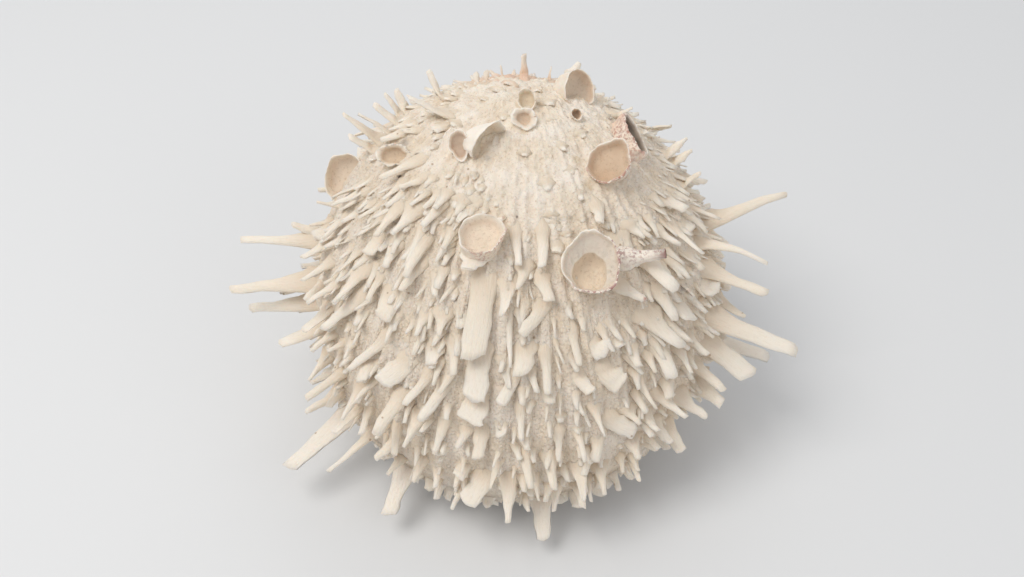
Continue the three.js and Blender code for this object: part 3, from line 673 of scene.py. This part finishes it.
def spine_mesh(name, spines, sides, cuts):
    """All the spines of one kind as a joined mesh, each blank bent to its own place and shape."""
    blank = spine_blank(sides, cuts)
    bm = bmesh.new()
    for _ in spines:
        bm.from_mesh(blank)
    mesh = bpy.data.meshes.new(name)
    bm.to_mesh(mesh)
    bm.free()
    blank_points = mesh_points(blank)
    across, over = blank_points[:, 0], blank_points[:, 1]
    level = np.clip(blank_points[:, 2] + 0.5, 0, 1)
    start = max(1, round(0.25 * (cuts + 1))) / (cuts + 1)
    before = np.clip(1 - level / start, 0, 1)
    reach = np.clip((level - start) / (1 - start), 0, 1)

    def column(key):
        return np.array([thorn[key] for thorn in spines], float)[:, None]

    root, along, out, direction = (column(key) for key in ("root", "along", "out", "direction"))
    bend = smoothstep(reach, 0, 0.6)[None, :, None]
    heading = unit(along * (1 - bend) + direction * bend)
    side = unit(np.cross(heading, out))
    top = np.cross(side, heading)
    length, width, seed, flare = column("length"), column("width"), column("seed"), column("flare")
    foot = flare * (1 - reach) ** 4
    body = 1 + (column("tip") - 1) * reach ** 1.1 + foot + column("spread") * smoothstep(reach, 0.4, 0.85)
    waver = 0.06 * np.sin(9 * reach + 40 * seed) * (1 + across * np.sin(70 * seed))
    waver = waver + 0.05 * across * np.sin(17 * reach + 230 * seed)
    half = width / 2 * (body + waver) * (1 - 0.6 * before)
    swell = 1 - 0.3 * reach + 0.4 * foot + 0.12 * np.sin(11 * reach + 60 * seed)
    thick = np.minimum(0.42 * width, THICKEST_BLADE) * swell
    hollow = smoothstep(reach, 0.1, 0.45)
    arch = np.where(over >= 0, over, over * (0.7 - 1.05 * hollow))
    jagged = np.sin(5 * across + 40 * seed) + 0.6 * np.sin(11 * across + 90 * seed)
    slant = 0.3 * np.sin(300 * seed) * across - (0.4 + 0.2 * np.sin(170 * seed)) * across ** 2
    worn = np.clip(3 * reach - 2, 0, 1)
    ahead = reach * length + worn * half * (slant + column("jag") * jagged * (reach > 0.999))
    ease = 0.5 * np.minimum(length, 8) * reach * (1 - reach) ** 2
    turn = column("twist") * reach
    lift = arch * thick * column("fold")
    u = across * half * np.cos(turn) - lift * np.sin(turn) + column("sway") * length * reach ** 2
    v = across * half * np.sin(turn) + lift * np.cos(turn) + column("curl") * length * reach ** 2
    v = v - 1.3 * before * thick
    points = (root + direction * ahead[..., None] + (along - direction) * ease[..., None]
              - along * (before * column("lead"))[..., None]
              + side * u[..., None] + top * v[..., None]).reshape(-1, 3)
    points += 0.07 * np.stack([roughness_at(points + shift, 1.8, 2) for shift in (0, 50, 90)], axis=-1)
    set_points(mesh, points * MM)
    flat = np.ones_like(reach)
    paint(mesh, "reach", reach * np.ones_like(length))
    paint(mesh, "tone", seed * flat)
    paint(mesh, "blush", column("blush") * flat)
    grain = np.stack((across * half + 31 * seed, 0.12 * (ahead - before), lift + 17 * seed), axis=-1)
    paint_vector(mesh, "grain", grain.reshape(-1, 3))
    return mesh


# The valves' own surfaces

def fan_sheet(name, columns, rows):
    """A sheet to wrap round the shell, with each vertex's fan angle and row."""
    bm = bmesh.new()
    bmesh.ops.create_grid(bm, x_segments=columns, y_segments=rows, size=0.5)
    mesh = bpy.data.meshes.new(name)
    bm.to_mesh(mesh)
    bm.free()
    points = mesh_points(mesh)
    return mesh, (points[:, 0] + 0.5) * 2 * math.pi, np.rint((points[:, 1] + 0.5) * rows)


def close_sheet(mesh):
    """Joins the sheet's edges at the seam and the poles, with its faces outward."""
    bm = bmesh.new()
    bm.from_mesh(mesh)
    bmesh.ops.remove_doubles(bm, verts=bm.verts, dist=1e-6)
    bmesh.ops.recalc_face_normals(bm, faces=bm.faces)
    bm.to_mesh(mesh)
    bm.free()
    mesh.polygons.foreach_set("use_smooth", np.ones(len(mesh.polygons), bool))


def paint_fan(mesh, angle, share):
    """Coordinates round the fan and along it, which draw the fine riblets out along the ribs."""
    paint_vector(mesh, "fan", np.stack((40 * np.cos(angle), 40 * np.sin(angle), 6 * share), axis=-1))


def rib_ridge(angle):
    """1 on a main rib and 0 midway between two."""
    ribs = np.array([rib_angle(rib) for rib in range(-1, RIBS + 1)])
    after = np.clip(np.searchsorted(ribs, angle), 1, RIBS + 1)
    share = (angle - ribs[after - 1]) / (ribs[after] - ribs[after - 1])
    return (0.5 + 0.5 * np.cos(2 * math.pi * share)) ** 1.4


def upper_valve_mesh():
    """The upper valve: ribs, riblets and growth steps towards the margin, worn knobs by the umbo."""
    outer_rows, rim_rows, inner_rows = 150, 2, 8
    mesh, angle, row = fan_sheet("upper_valve", UPPER_COLUMNS, outer_rows + rim_rows + inner_rows)
    outer = row <= outer_rows
    share = 1 - (1 - np.clip(row / outer_rows, 0, 1)) ** 1.1
    point, _, out, _ = dome_frame(angle, share)
    grown = smoothstep(share, 0.25, 0.7)
    ridge = rib_ridge(angle)
    lumps = roughness_at(point, 9, 3)
    grain = roughness_at(point, 2.2, 2)
    riblets = np.sin(angle * 3 * RIBS + 2 * roughness_at(point, 14, 2)) * smoothstep(share, 0.5, 0.75)
    steps = (share * 24 + 1.2 * roughness_at(point + 300, 11, 2)) % 1
    beaded = np.maximum(0, np.sin(60 * share + 9 * roughness_at(point + 500, 30, 1)))
    knobs = smoothstep(share, 0.1, 0.3) * ridge ** 2 * beaded ** 2
    nodules = np.maximum(0, roughness_at(point + 700, 3, 2) - 0.15)
    ribbed = 1.2 * ridge + 0.22 * riblets + 0.25 * steps
    worn = 0.5 * knobs + 1.1 * nodules
    fine = (0.4 - 0.1 * grown) * grain + 0.16 * roughness_at(point, 1.2, 2)
    relief = grown * ribbed + (1 - grown) * worn + 0.9 * lumps * (1 - 0.5 * grown) + fine
    fade = 1 - smoothstep(share, 0.985, 1)
    point = point + out * (relief * fade)[:, None]
    inward = np.clip((row - outer_rows - rim_rows) / inner_rows, 0, 1)
    x, y = disc_point(angle, 1 - inward)
    rim = np.clip((row - outer_rows) / rim_rows, 0, 1)
    scale = 1 + (INNER_SCALE - 1) * rim
    rise = np.where(inward > 0, (1 - WALL / DOME_RISE) * dome_rise(x, y), SEAM / 2)
    hollow = from_margin_plane(x * scale, y * scale, np.maximum(rise, SEAM / 2))
    set_points(mesh, np.where(outer[:, None], point, hollow) * MM)
    # The groove mask tans the low parts of the relief: partly granular crust, partly painted shade in the
    # recesses.
    groove = 0.55 - 0.55 * ridge * grown - 0.5 * lumps - 0.35 * grain - 0.2 * steps
    paint(mesh, "groove", np.clip(groove, 0, 1))
    paint(mesh, "grown", grown)
    paint_fan(mesh, angle, share)
    close_sheet(mesh)
    return mesh


def lower_valve_mesh():
    """The lower valve: ribs and frills down to a flat scar."""
    outer_rows, rim_rows, inner_rows, scar_rows = 84, 2, 8, 3
    rows = inner_rows + rim_rows + outer_rows + scar_rows
    mesh, angle, row = fan_sheet("lower_valve", LOWER_COLUMNS, rows)
    share = np.clip((row - inner_rows - rim_rows) / outer_rows, 0, 1)
    point = bowl_point(angle, share)
    step = 0.002
    above, below = np.clip(share, 0, 1 - 2 * step), np.clip(share + step, 0, 1 - step)
    down = bowl_point(angle, below) - bowl_point(angle, above)
    across = bowl_point(angle + step, share) - bowl_point(angle - step, share)
    out = unit(np.cross(across, -down))
    middle = np.array((0, 0, 30))
    out = np.where(np.sum(out * (point - middle), axis=-1, keepdims=True) < 0, -out, out)
    ridge = rib_ridge(angle)
    lumps = roughness_at(point, 10, 3)
    frill = (share * 15 + 0.9 * roughness_at(point + 200, 13, 2) + 0.06 * np.sin(angle * RIBS)) % 1
    relief = 0.9 * ridge + 1.6 * (1 - frill) ** 2 + 0.9 * lumps + 0.3 * roughness_at(point, 2.2, 2)
    fade = smoothstep(share, 0, 0.03) * (1 - smoothstep(share, 0.93, 0.99))
    point = point + out * (relief * fade)[:, None]
    scar = np.clip((row - inner_rows - rim_rows - outer_rows) / scar_rows, 0, 1)
    point[:, :2] *= (1 - scar)[:, None]
    point[:, 2] = np.maximum(point[:, 2], 0)
    inward = np.clip(1 - row / inner_rows, 0, 1)
    x, y = disc_point(angle, 1.0)
    rim = 1 - np.clip((row - inner_rows) / rim_rows, 0, 1)
    scale = 1 + (INNER_SCALE - 1) * rim
    edge = from_margin_plane(x * scale, y * scale, -SEAM / 2)
    hollow = edge * np.stack(((1 - inward), (1 - inward), np.ones_like(inward)), axis=-1)
    hollow[:, 2] = BOWL_FLOOR + (edge[:, 2] - BOWL_FLOOR) * (1 - inward) ** 1.5
    set_points(mesh, np.where((row <= inner_rows + rim_rows)[:, None], hollow, point) * MM)
    # The groove mask tans the low parts under the frills and between the ribs: painted shade in the recesses.
    paint(mesh, "groove", np.clip(0.2 + 0.5 * frill - 0.3 * ridge - 0.3 * lumps, 0, 1))
    paint(mesh, "grown", np.ones(len(angle)))
    paint_fan(mesh, angle, share)
    close_sheet(mesh)
    return mesh


# Cemented shells

def cup_seat(sizes, roll=0):
    """Root, sideways, forward and opening directions of a cemented shell."""
    fan, share, heading, pitch, _, _, height, *_ = sizes
    up = heading_vector(heading, pitch)
    side = turned(unit(np.cross((0, 0, 1), up)), up, math.radians(roll))
    return dome_point(math.radians(fan), share) - CUP_SUNK * height * up, side, np.cross(up, side), up


def bump_at(angle, centre, spread):
    """1 at an angle round the rim, fading over a spread, in degrees."""
    apart = (np.degrees(angle) - centre + 180) % 360 - 180
    return np.exp(-(apart / spread) ** 2)


# Radius and depth of a cup's hollow below its ledge, as shares
WELL_STEPS = ((1, 0.38), (0.97, 0.5), (0.9, 0.72), (0.72, 0.9), (0.4, 1), (0, 1))


def cup_profile(top, depth, mouth, base, ledge):
    """Outline of a cup from the middle of its base, up the outside, over the rim and down into the hollow."""
    outside = [(0, 0), (0.9 * base, 0)]
    outside += [(base + (1 - base) * (i / 9) ** 0.8, top * i / 9) for i in range(1, 10)]
    lip = [(0.8 + 0.2 * mouth, top + 0.1), (0.6 + 0.4 * mouth, top)]
    lip += [(0.25 + 0.75 * mouth, top - 0.15 * depth), (mouth, top - 0.3 * depth)]
    well = [(ledge * mouth * share, top - depth * level) for share, level in WELL_STEPS]
    return outside, lip + well


def cup_mesh(name):
    """A worn cup shell: walls, a ragged rim and a hollow, standing on the upper valve."""
    half_length, half_width, height, wall, depth = CUPS[name][4:]
    details = dict(roll=0, base=0.72, ledge=0.95, shift=(0, 0), point=(0, 0, 1), notch=(0, 0, 1),
                   slant=(0, 0), ragged=0.2, stain=(0, 1), lumpy=1)
    details.update(CUP_DETAILS[name])
    root, side, front, up = cup_seat(CUPS[name], details["roll"])
    top = (1 + CUP_SUNK) * height
    mouth = 1 - wall / min(half_length, half_width)
    outside, inside = cup_profile(top, depth, mouth, details["base"], details["ledge"])
    profile = outside + inside
    bm = bmesh.new()
    corners = [bm.verts.new((radius, 0, level)) for radius, level in profile]
    edges = [bm.edges.new(pair) for pair in zip(corners, corners[1:])]
    bmesh.ops.spin(bm, geom=corners + edges, cent=(0, 0, 0), axis=(0, 0, 1), dvec=(0, 0, 0),
                   angle=2 * math.pi, steps=CUP_SIDES, use_merge=True, use_duplicate=False)
    bmesh.ops.remove_doubles(bm, verts=bm.verts, dist=1e-5)
    bmesh.ops.recalc_face_normals(bm, faces=bm.faces)
    mesh = bpy.data.meshes.new(name)
    bm.to_mesh(mesh)
    bm.free()
    local = mesh_points(mesh)
    angle = np.arctan2(local[:, 1], local[:, 0])
    radius, level = np.hypot(local[:, 0], local[:, 1]), local[:, 2]
    apart = np.hypot(radius[:, None] - np.array(profile)[:, 0], level[:, None] - np.array(profile)[:, 1])
    stage = apart.argmin(axis=1)
    hollow = np.clip((stage - len(outside)) / (len(inside) - 1), 0, 1)
    within = (stage > len(outside)).astype(float)
    rim = np.exp(-((stage - len(outside)) / 1.6) ** 2)
    below_ledge = (stage >= len(outside) + 4).astype(float)
    if details["ledge"] < 0.9:
        rim = np.maximum(rim, 0.8 * np.exp(-((stage - len(outside) - 3.5) / 0.7) ** 2))
    drawn = 1 + details["point"][1] * bump_at(angle, details["point"][0], details["point"][2])
    drawn = drawn + 0.05 * np.sin(2 * angle + height) + 0.04 * np.sin(3 * angle + 2 * height)
    drawn = drawn + 0.02 * np.sin(5 * angle + 3 * height) + 0.015 * np.sin(9 * angle + height)
    rise = details["slant"][1] * np.cos(angle - math.radians(details["slant"][0]))
    rise = rise - details["notch"][1] * bump_at(angle, details["notch"][0], details["notch"][2])
    rise = rise * smoothstep(level, 0.4 * top, top)
    across = local[:, 0] * drawn + details["shift"][0] * below_ledge
    along = local[:, 1] * drawn + details["shift"][1] * below_ledge
    points = (root + side * (across * half_length)[:, None] + front * (along * half_width)[:, None]
              + up * (level + rise)[:, None])
    points += up * (details["ragged"] * rim * roughness_at(points * np.array((1, 1, 0.3)), 0.9, 2))[:, None]
    sideways = side * np.cos(angle)[:, None] + front * np.sin(angle)[:, None]
    lumps = 0.45 * details["lumpy"] * roughness_at(points, 3.5, 3) * (1 - 0.6 * within)
    edge = 0.9 * details["ragged"] * rim * roughness_at(points, 1.6, 2)
    rough = lumps + edge + 0.12 * roughness_at(points, 1.1, 2)
    points += sideways * (rough * np.minimum(1, 2 * radius))[:, None]
    set_points(mesh, points * MM)
    paint(mesh, "within", within)
    paint(mesh, "hollow", hollow)
    paint(mesh, "rim", rim)
    paint(mesh, "stain", bump_at(angle, *details["stain"]))
    mesh.polygons.foreach_set("use_smooth", np.ones(len(mesh.polygons), bool))
    return mesh


def cup_spines():
    """Horns and a leaf that grow from the cemented shells."""
    picture_up = np.array((0, 0.67, 0.74))
    right = np.array((1.0, 0, 0))
    skyline, _, _, skyline_out = cup_seat(CUPS["cup_skyline"])
    skyline = skyline + CUP_SUNK * CUPS["cup_skyline"][6] * skyline_out
    horn = unit(0.75 * right + picture_up)
    stub = unit(right + 0.8 * picture_up)
    point, along, out, _ = spine_seat(math.radians(250), 0.56)
    return [
        spine(skyline + 0.5 * right + 5.2 * picture_up, horn, skyline_out, horn, 4.6, 3, 0.7, lead=2),
        spine(skyline + 5.6 * right - 0.2 * picture_up, stub, skyline_out, stub, 3.2, 2.6, 0.8, jag=0.1,
              lead=2),
        spine(point, along, out, heading_vector(252, 2), 8.5, 10, 0.35, flare=0, lead=2, curl=-0.05),
    ]


# Finishes

def add_node(tree, kind, **settings):
    node = tree.nodes.new(kind)
    for key, value in settings.items():
        setattr(node, key, value)
    return node


def noise_node(tree, vector, scale, detail=3.0, rough=0.55):
    node = add_node(tree, "ShaderNodeTexNoise")
    node.inputs["Scale"].default_value = scale
    node.inputs["Detail"].default_value = detail
    node.inputs["Roughness"].default_value = rough
    tree.links.new(vector, node.inputs["Vector"])
    return node.outputs["Fac"]


def voronoi_node(tree, vector, scale):
    node = add_node(tree, "ShaderNodeTexVoronoi")
    node.inputs["Scale"].default_value = scale
    tree.links.new(vector, node.inputs["Vector"])
    return node.outputs


def separate_red(tree, colour):
    node = add_node(tree, "ShaderNodeSeparateColor")
    tree.links.new(colour, node.inputs[0])
    return node.outputs[0]


def stretch(tree, value, low, high, to_low=0.0, to_high=1.0):
    node = add_node(tree, "ShaderNodeMapRange", interpolation_type="SMOOTHSTEP")
    for index, number in enumerate((low, high, to_low, to_high), start=1):
        node.inputs[index].default_value = number
    tree.links.new(value, node.inputs["Value"])
    return node.outputs["Result"]


def math_node(tree, operation, first, second):
    node = add_node(tree, "ShaderNodeMath", operation=operation)
    for socket, value in zip(node.inputs, (first, second)):
        if isinstance(value, (int, float)):
            socket.default_value = value
        else:
            tree.links.new(value, socket)
    return node.outputs[0]


def mix_colour(tree, factor, first, second):
    node = add_node(tree, "ShaderNodeMix", data_type="RGBA")
    for socket, value in ((node.inputs[0], factor), (node.inputs[6], first), (node.inputs[7], second)):
        if isinstance(value, (int, float, tuple)):
            socket.default_value = value
        else:
            tree.links.new(value, socket)
    return node.outputs[2]


def attribute(tree, name, output="Fac"):
    return add_node(tree, "ShaderNodeAttribute", attribute_name=name).outputs[output]


def chalk_group():
    """Worn chalk: masks of its mottle, speckles, sparse dark pits and pale beads, and its surface height."""
    group = bpy.data.node_groups.new("worn_chalk", "ShaderNodeTree")
    group.interface.new_socket("Vector", in_out="INPUT", socket_type="NodeSocketVector")
    for name in ("Mottle", "Speckle", "Pits", "Beads", "Height"):
        group.interface.new_socket(name, in_out="OUTPUT", socket_type="NodeSocketFloat")
    enter = add_node(group, "NodeGroupInput").outputs["Vector"]
    leave = add_node(group, "NodeGroupOutput")
    mottle = stretch(group, noise_node(group, enter, 110, 4), 0.35, 0.68)
    speckle = stretch(group, noise_node(group, enter, 1200, 3, 0.65), 0.54, 0.68)
    fine = noise_node(group, enter, 1500, 4, 0.65)
    coarse = noise_node(group, enter, 420, 3)
    height = math_node(group, "ADD", math_node(group, "MULTIPLY", fine, 0.5), coarse)
    cells = voronoi_node(group, enter, 170)
    few = stretch(group, separate_red(group, cells["Color"]), 0.6, 0.62)
    pits = math_node(group, "MULTIPLY", stretch(group, cells["Distance"], 0.04, 0.08, 1.0, 0.0), few)
    beads = stretch(group, voronoi_node(group, enter, 900)["Distance"], 0.0, 0.75, 1.0, 0.0)
    for name, value in (("Mottle", mottle), ("Speckle", speckle), ("Pits", pits), ("Beads", beads),
                        ("Height", height)):
        group.links.new(value, leave.inputs[name])
    return group


def spots_group(name, spots):
    """A mask of ragged spots at given places."""
    group = bpy.data.node_groups.new(name, "ShaderNodeTree")
    group.interface.new_socket("Vector", in_out="INPUT", socket_type="NodeSocketVector")
    group.interface.new_socket("Mask", in_out="OUTPUT", socket_type="NodeSocketFloat")
    enter = add_node(group, "NodeGroupInput").outputs["Vector"]
    leave = add_node(group, "NodeGroupOutput")
    ragged = noise_node(group, enter, 900, 2)
    mask = 0.0
    for x, y, z, radius in spots:
        apart = add_node(group, "ShaderNodeVectorMath", operation="DISTANCE")
        apart.inputs[1].default_value = Vector((x, y, z)) * MM
        group.links.new(enter, apart.inputs[0])
        edge = math_node(group, "MULTIPLY", ragged, 1.2 * radius * MM)
        distance = math_node(group, "ADD", apart.outputs["Value"], edge)
        spot = stretch(group, distance, 0.7 * radius * MM, 1.8 * radius * MM, 1.0, 0.0)
        mask = math_node(group, "MAXIMUM", spot, mask)
    group.links.new(mask, leave.inputs["Mask"])
    return group


def add_stains_and_shadows(tree, place, chalk, colour):
    """The stains of the upper valve over a colour, with ochre spots that are partly painted shadow beside
    cup_upper_right.
    """
    colour = mix_colour(tree, math_node(tree, "MULTIPLY", chalk["Pits"], 0.7), colour, BROWN)
    for group, stain, strength in STAIN_AND_SHADOW_GROUPS:
        spots = add_node(tree, "ShaderNodeGroup", node_tree=group)
        tree.links.new(place, spots.inputs["Vector"])
        colour = mix_colour(tree, math_node(tree, "MULTIPLY", spots.outputs["Mask"], strength), colour, stain)
    return colour


def new_finish(name, roughness):
    material = bpy.data.materials.new(name)
    material.use_nodes = True
    tree = material.node_tree
    shader = tree.nodes["Principled BSDF"]
    shader.inputs["Roughness"].default_value = roughness
    shader.inputs["Specular IOR Level"].default_value = 0.3
    shader.inputs["Subsurface Weight"].default_value = 0.2
    shader.inputs["Subsurface Scale"].default_value = 1.5 * MM
    shader.inputs["Subsurface Radius"].default_value = (1, 0.7, 0.5)
    place = add_node(tree, "ShaderNodeTexCoord").outputs["Object"]
    chalk = add_node(tree, "ShaderNodeGroup", node_tree=CHALK_GROUP)
    tree.links.new(place, chalk.inputs["Vector"])
    return material, tree, shader, chalk.outputs, place


def raise_bump(tree, shader, height, strength, distance):
    bump = add_node(tree, "ShaderNodeBump")
    bump.inputs["Strength"].default_value = strength
    bump.inputs["Distance"].default_value = distance
    tree.links.new(height, bump.inputs["Height"])
    tree.links.new(bump.outputs["Normal"], shader.inputs["Normal"])


def valve_finish(name):
    """Chalky valve: cream with tan grooves (partly granular crust, partly painted shade in the recesses),
    fine riblets and speckles.
    """
    material, tree, shader, chalk, place = new_finish(name, 0.82)
    colour = mix_colour(tree, chalk["Mottle"], CREAM, CHALK_WHITE)
    between = math_node(tree, "MULTIPLY", attribute(tree, "grown"), 0.24)
    # Tan in the grooves: partly granular crust, partly painted shade in the recesses.
    groove = math_node(tree, "MULTIPLY", stretch(tree, attribute(tree, "groove"), 0.25, 0.95), 0.36)
    colour = mix_colour(tree, math_node(tree, "MAXIMUM", between, groove), colour, TAN)
    colour = mix_colour(tree, math_node(tree, "MULTIPLY", chalk["Speckle"], 0.36), colour, BROWN)
    pale_beads = math_node(tree, "MULTIPLY", stretch(tree, chalk["Beads"], 0.6, 0.95), 0.35)
    colour = add_stains_and_shadows(tree, place, chalk, mix_colour(tree, pale_beads, colour, CHALK_WHITE))
    tree.links.new(colour, shader.inputs["Base Color"])
    lined = stretch(tree, attribute(tree, "grown"), 0.55, 1.0, 0.0, 1.2)
    riblets = math_node(tree, "MULTIPLY", noise_node(tree, attribute(tree, "fan", "Vector"), 1.8, 2), lined)
    bead_share = stretch(tree, attribute(tree, "grown"), 0, 1, 0.2, 0.55)
    beads = math_node(tree, "MULTIPLY", chalk["Beads"], bead_share)
    height = math_node(tree, "ADD", math_node(tree, "ADD", riblets, beads), chalk["Height"])
    raise_bump(tree, shader, height, 0.78, 0.0007)
    return material


def spine_finish(name, cream):
    """Spine: striped along its length, tan at the foot and worn white at the tip, pink by the umbo."""
    material, tree, shader, chalk, place = new_finish(name, 0.7)
    reach = attribute(tree, "reach")
    colour = mix_colour(tree, stretch(tree, reach, 0.0, 0.8, 0.1, 0.9), cream, CHALK_WHITE)
    colour = mix_colour(tree, stretch(tree, attribute(tree, "tone"), 0.4, 1.0, 0.0, 0.4), colour, cream)
    colour = mix_colour(tree, stretch(tree, reach, 0.0, 0.4, 0.22, 0.0), colour, TAN)
    stripes = noise_node(tree, attribute(tree, "grain", "Vector"), 2.6, 3)
    stripe_mask = math_node(tree, "MULTIPLY", stretch(tree, stripes, 0.5, 0.75), 0.16)
    colour = mix_colour(tree, stripe_mask, colour, TAN)
    colour = mix_colour(tree, math_node(tree, "MULTIPLY", chalk["Speckle"], 0.1), colour, TAN)
    foot = stretch(tree, reach, 0.2, 0.9, 1.0, 0.25)
    colour = mix_colour(tree, math_node(tree, "MULTIPLY", attribute(tree, "blush"), foot), colour, BLUSH)
    tree.links.new(add_stains_and_shadows(tree, place, chalk, colour), shader.inputs["Base Color"])
    striped = math_node(tree, "MULTIPLY", stripes, 1.6)
    height = math_node(tree, "ADD", striped, math_node(tree, "MULTIPLY", chalk["Height"], 0.6))
    raise_bump(tree, shader, height, 0.45, 0.0005)
    return material


def cup_finish(name, wall, bottom, outside, stain, edge=CHALK_WHITE):
    """Cemented cup: pale rim, shaded hollow with faint rings, and a granular stain and flecks on one side."""
    material, tree, shader, chalk, place = new_finish(name, 0.68)
    grains = stretch(tree, noise_node(tree, place, 1100, 3, 0.7), 0.47, 0.6)
    patches = stretch(tree, noise_node(tree, place, 300, 2), 0.36, 0.56, 0.25, 1.0)
    grains = math_node(tree, "MULTIPLY", grains, patches)
    crust = math_node(tree, "MULTIPLY", grains, attribute(tree, "stain"))
    # Inner wall to hollow bottom: partly the shell's own tan, partly painted shade inside the hollow.
    inner = mix_colour(tree, stretch(tree, attribute(tree, "hollow"), 0.1, 0.7), wall, bottom)
    inner = mix_colour(tree, math_node(tree, "MULTIPLY", chalk["Mottle"], 0.3), inner, CREAM)
    rings = stretch(tree, noise_node(tree, attribute(tree, "hollow"), 7, 2), 0.44, 0.66)
    inner = mix_colour(tree, math_node(tree, "MULTIPLY", rings, 0.18), inner, TAN)
    inner = mix_colour(tree, math_node(tree, "MULTIPLY", chalk["Speckle"], 0.3), inner, BROWN)
    outer = mix_colour(tree, math_node(tree, "MULTIPLY", chalk["Mottle"], 0.7), outside, CHALK_WHITE)
    outer = mix_colour(tree, math_node(tree, "MULTIPLY", crust, 0.65), outer, stain)
    colour = mix_colour(tree, attribute(tree, "within"), outer, inner)
    clean = math_node(tree, "SUBTRACT", 1.0, crust)
    rim = math_node(tree, "MULTIPLY", attribute(tree, "rim"), clean)
    colour = mix_colour(tree, math_node(tree, "MULTIPLY", rim, 0.85), colour, edge)
    outer_lip = stretch(tree, attribute(tree, "hollow"), 0.1, 0.3, 1.0, 0.0)
    lip = math_node(tree, "MULTIPLY", attribute(tree, "rim"), outer_lip)
    flecks = stretch(tree, noise_node(tree, place, 650, 3, 0.65), 0.46, 0.56)
    flecks = math_node(tree, "MULTIPLY", flecks, stretch(tree, attribute(tree, "stain"), 0.02, 0.4))
    edge_stain = math_node(tree, "MULTIPLY", math_node(tree, "MAXIMUM", crust, flecks), lip)
    colour = mix_colour(tree, math_node(tree, "MULTIPLY", edge_stain, 0.8), colour, stain)
    tree.links.new(colour, shader.inputs["Base Color"])
    height = math_node(tree, "ADD", chalk["Height"], math_node(tree, "MULTIPLY", crust, 0.8))
    raise_bump(tree, shader, height, 0.5, 0.0004)
    return material


# Assembly

def add_piece(mesh, material, node=None):
    """A piece of the still shell, in place of a solid if one is named."""
    piece = bpy.data.objects.new(mesh.name, mesh)
    bpy.context.scene.collection.objects.link(piece)
    mesh.materials.append(material)
    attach(piece, "root")
    if node:
        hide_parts(node)


def add_floor():
    bm = bmesh.new()
    bmesh.ops.create_grid(bm, x_segments=1, y_segments=1, size=3)
    mesh = bpy.data.meshes.new("floor")
    bm.to_mesh(mesh)
    bm.free()
    floor = bpy.data.objects.new("floor", mesh)
    bpy.context.scene.collection.objects.link(floor)
    material = bpy.data.materials.new("pale_floor")
    material.use_nodes = True
    shader = material.node_tree.nodes["Principled BSDF"]
    shader.inputs["Base Color"].default_value = (0.72, 0.73, 0.74, 1)
    shader.inputs["Roughness"].default_value = 0.9
    mesh.materials.append(material)


def add_light(name, place, size, power, colour):
    light = bpy.data.lights.new(name, "AREA")
    light.size = size
    light.energy = power
    light.color = colour
    lamp = bpy.data.objects.new(name, light)
    lamp.location = place
    lamp.rotation_euler = (Vector((0, 0, 0.04)) - Vector(place)).to_track_quat("-Z", "Y").to_euler()
    bpy.context.scene.collection.objects.link(lamp)


def add_studio():
    add_light("key", (-0.5, -0.22, 0.96), 0.6, 6.2, (1, 0.97, 0.93))
    add_light("fill", (0.75, -0.7, 0.45), 0.9, 1.7, (1, 0.97, 0.94))
    add_light("back", (0.1, 0.9, 0.8), 0.8, 1.8, (1, 1, 1))
    world = bpy.data.worlds.new("soft_room")
    world.use_nodes = True
    background = world.node_tree.nodes["Background"]
    background.inputs["Color"].default_value = (0.97, 0.98, 1, 1)
    background.inputs["Strength"].default_value = 0.55
    bpy.context.scene.world = world
    bpy.context.scene.view_settings.view_transform = "Standard"


CAMERA_TARGET = Vector((-1, 4, 34)) * MM
CAMERA_ELEVATION = math.radians(42)
CAMERA_DISTANCE = 370 * MM


def add_camera():
    camera = bpy.data.cameras.new("camera")
    camera.lens = 40
    camera.sensor_width = 36
    viewer = bpy.data.objects.new("camera", camera)
    back = Vector((0, -math.cos(CAMERA_ELEVATION), math.sin(CAMERA_ELEVATION)))
    viewer.location = CAMERA_TARGET + back * CAMERA_DISTANCE
    viewer.rotation_euler = (-back).to_track_quat("-Z", "Y").to_euler()
    bpy.context.scene.collection.objects.link(viewer)
    bpy.context.scene.camera = viewer


CHALK_GROUP = chalk_group()
# Stain masks and their colours; the ochre one is partly painted shadow at the base of cup_upper_right.
STAIN_AND_SHADOW_GROUPS = (
    (spots_group("ochre_and_shadow_spots", OCHRE_AND_SHADOW_SPOTS), OCHRE, 0.5),
    (spots_group("grey_spots", GREY_SPOTS), GREY_CRUST, 0.7),
    (spots_group("rust_spots", RUST_SPOTS), RUST, 0.85),
    (spots_group("dark_spots", DARK_SPOTS), DARK, 0.9),
)
add_camera()
add_studio()
add_floor()

upper_chalk = valve_finish("upper_chalk")
lower_chalk = valve_finish("lower_chalk")
upper_spine_chalk = spine_finish("upper_spine_chalk", CREAM)
lower_spine_chalk = spine_finish("lower_spine_chalk", CHALK_WHITE)
add_piece(upper_valve_mesh(), upper_chalk, "upper_valve")
add_piece(lower_valve_mesh(), lower_chalk, "lower_valve")
heroes = upper_heroes()
add_piece(spine_mesh("upper_outline_spines", heroes, *HERO_BLANK), upper_spine_chalk)
add_piece(spine_mesh("upper_spines", upper_spines(heroes), *SPINE_BLANK), upper_spine_chalk)
add_piece(spine_mesh("upper_scales", upper_scales(heroes), *SCALE_BLANK), upper_spine_chalk)
add_piece(spine_mesh("worn_stubs", worn_stubs(), *SPINE_BLANK), upper_spine_chalk)
add_piece(spine_mesh("lower_spines", lower_spines(), *LOWER_BLANK), lower_spine_chalk)
add_piece(spine_mesh("lower_scales", lower_scales(), *SCALE_BLANK), upper_spine_chalk)

for cup_name, cup_colours in CUP_COLOURS.items():
    add_piece(cup_mesh(cup_name), cup_finish(cup_name + "_chalk", *cup_colours), cup_name)
add_piece(spine_mesh("cemented_shell_spines", cup_spines(), *HORN_BLANK), lower_spine_chalk)
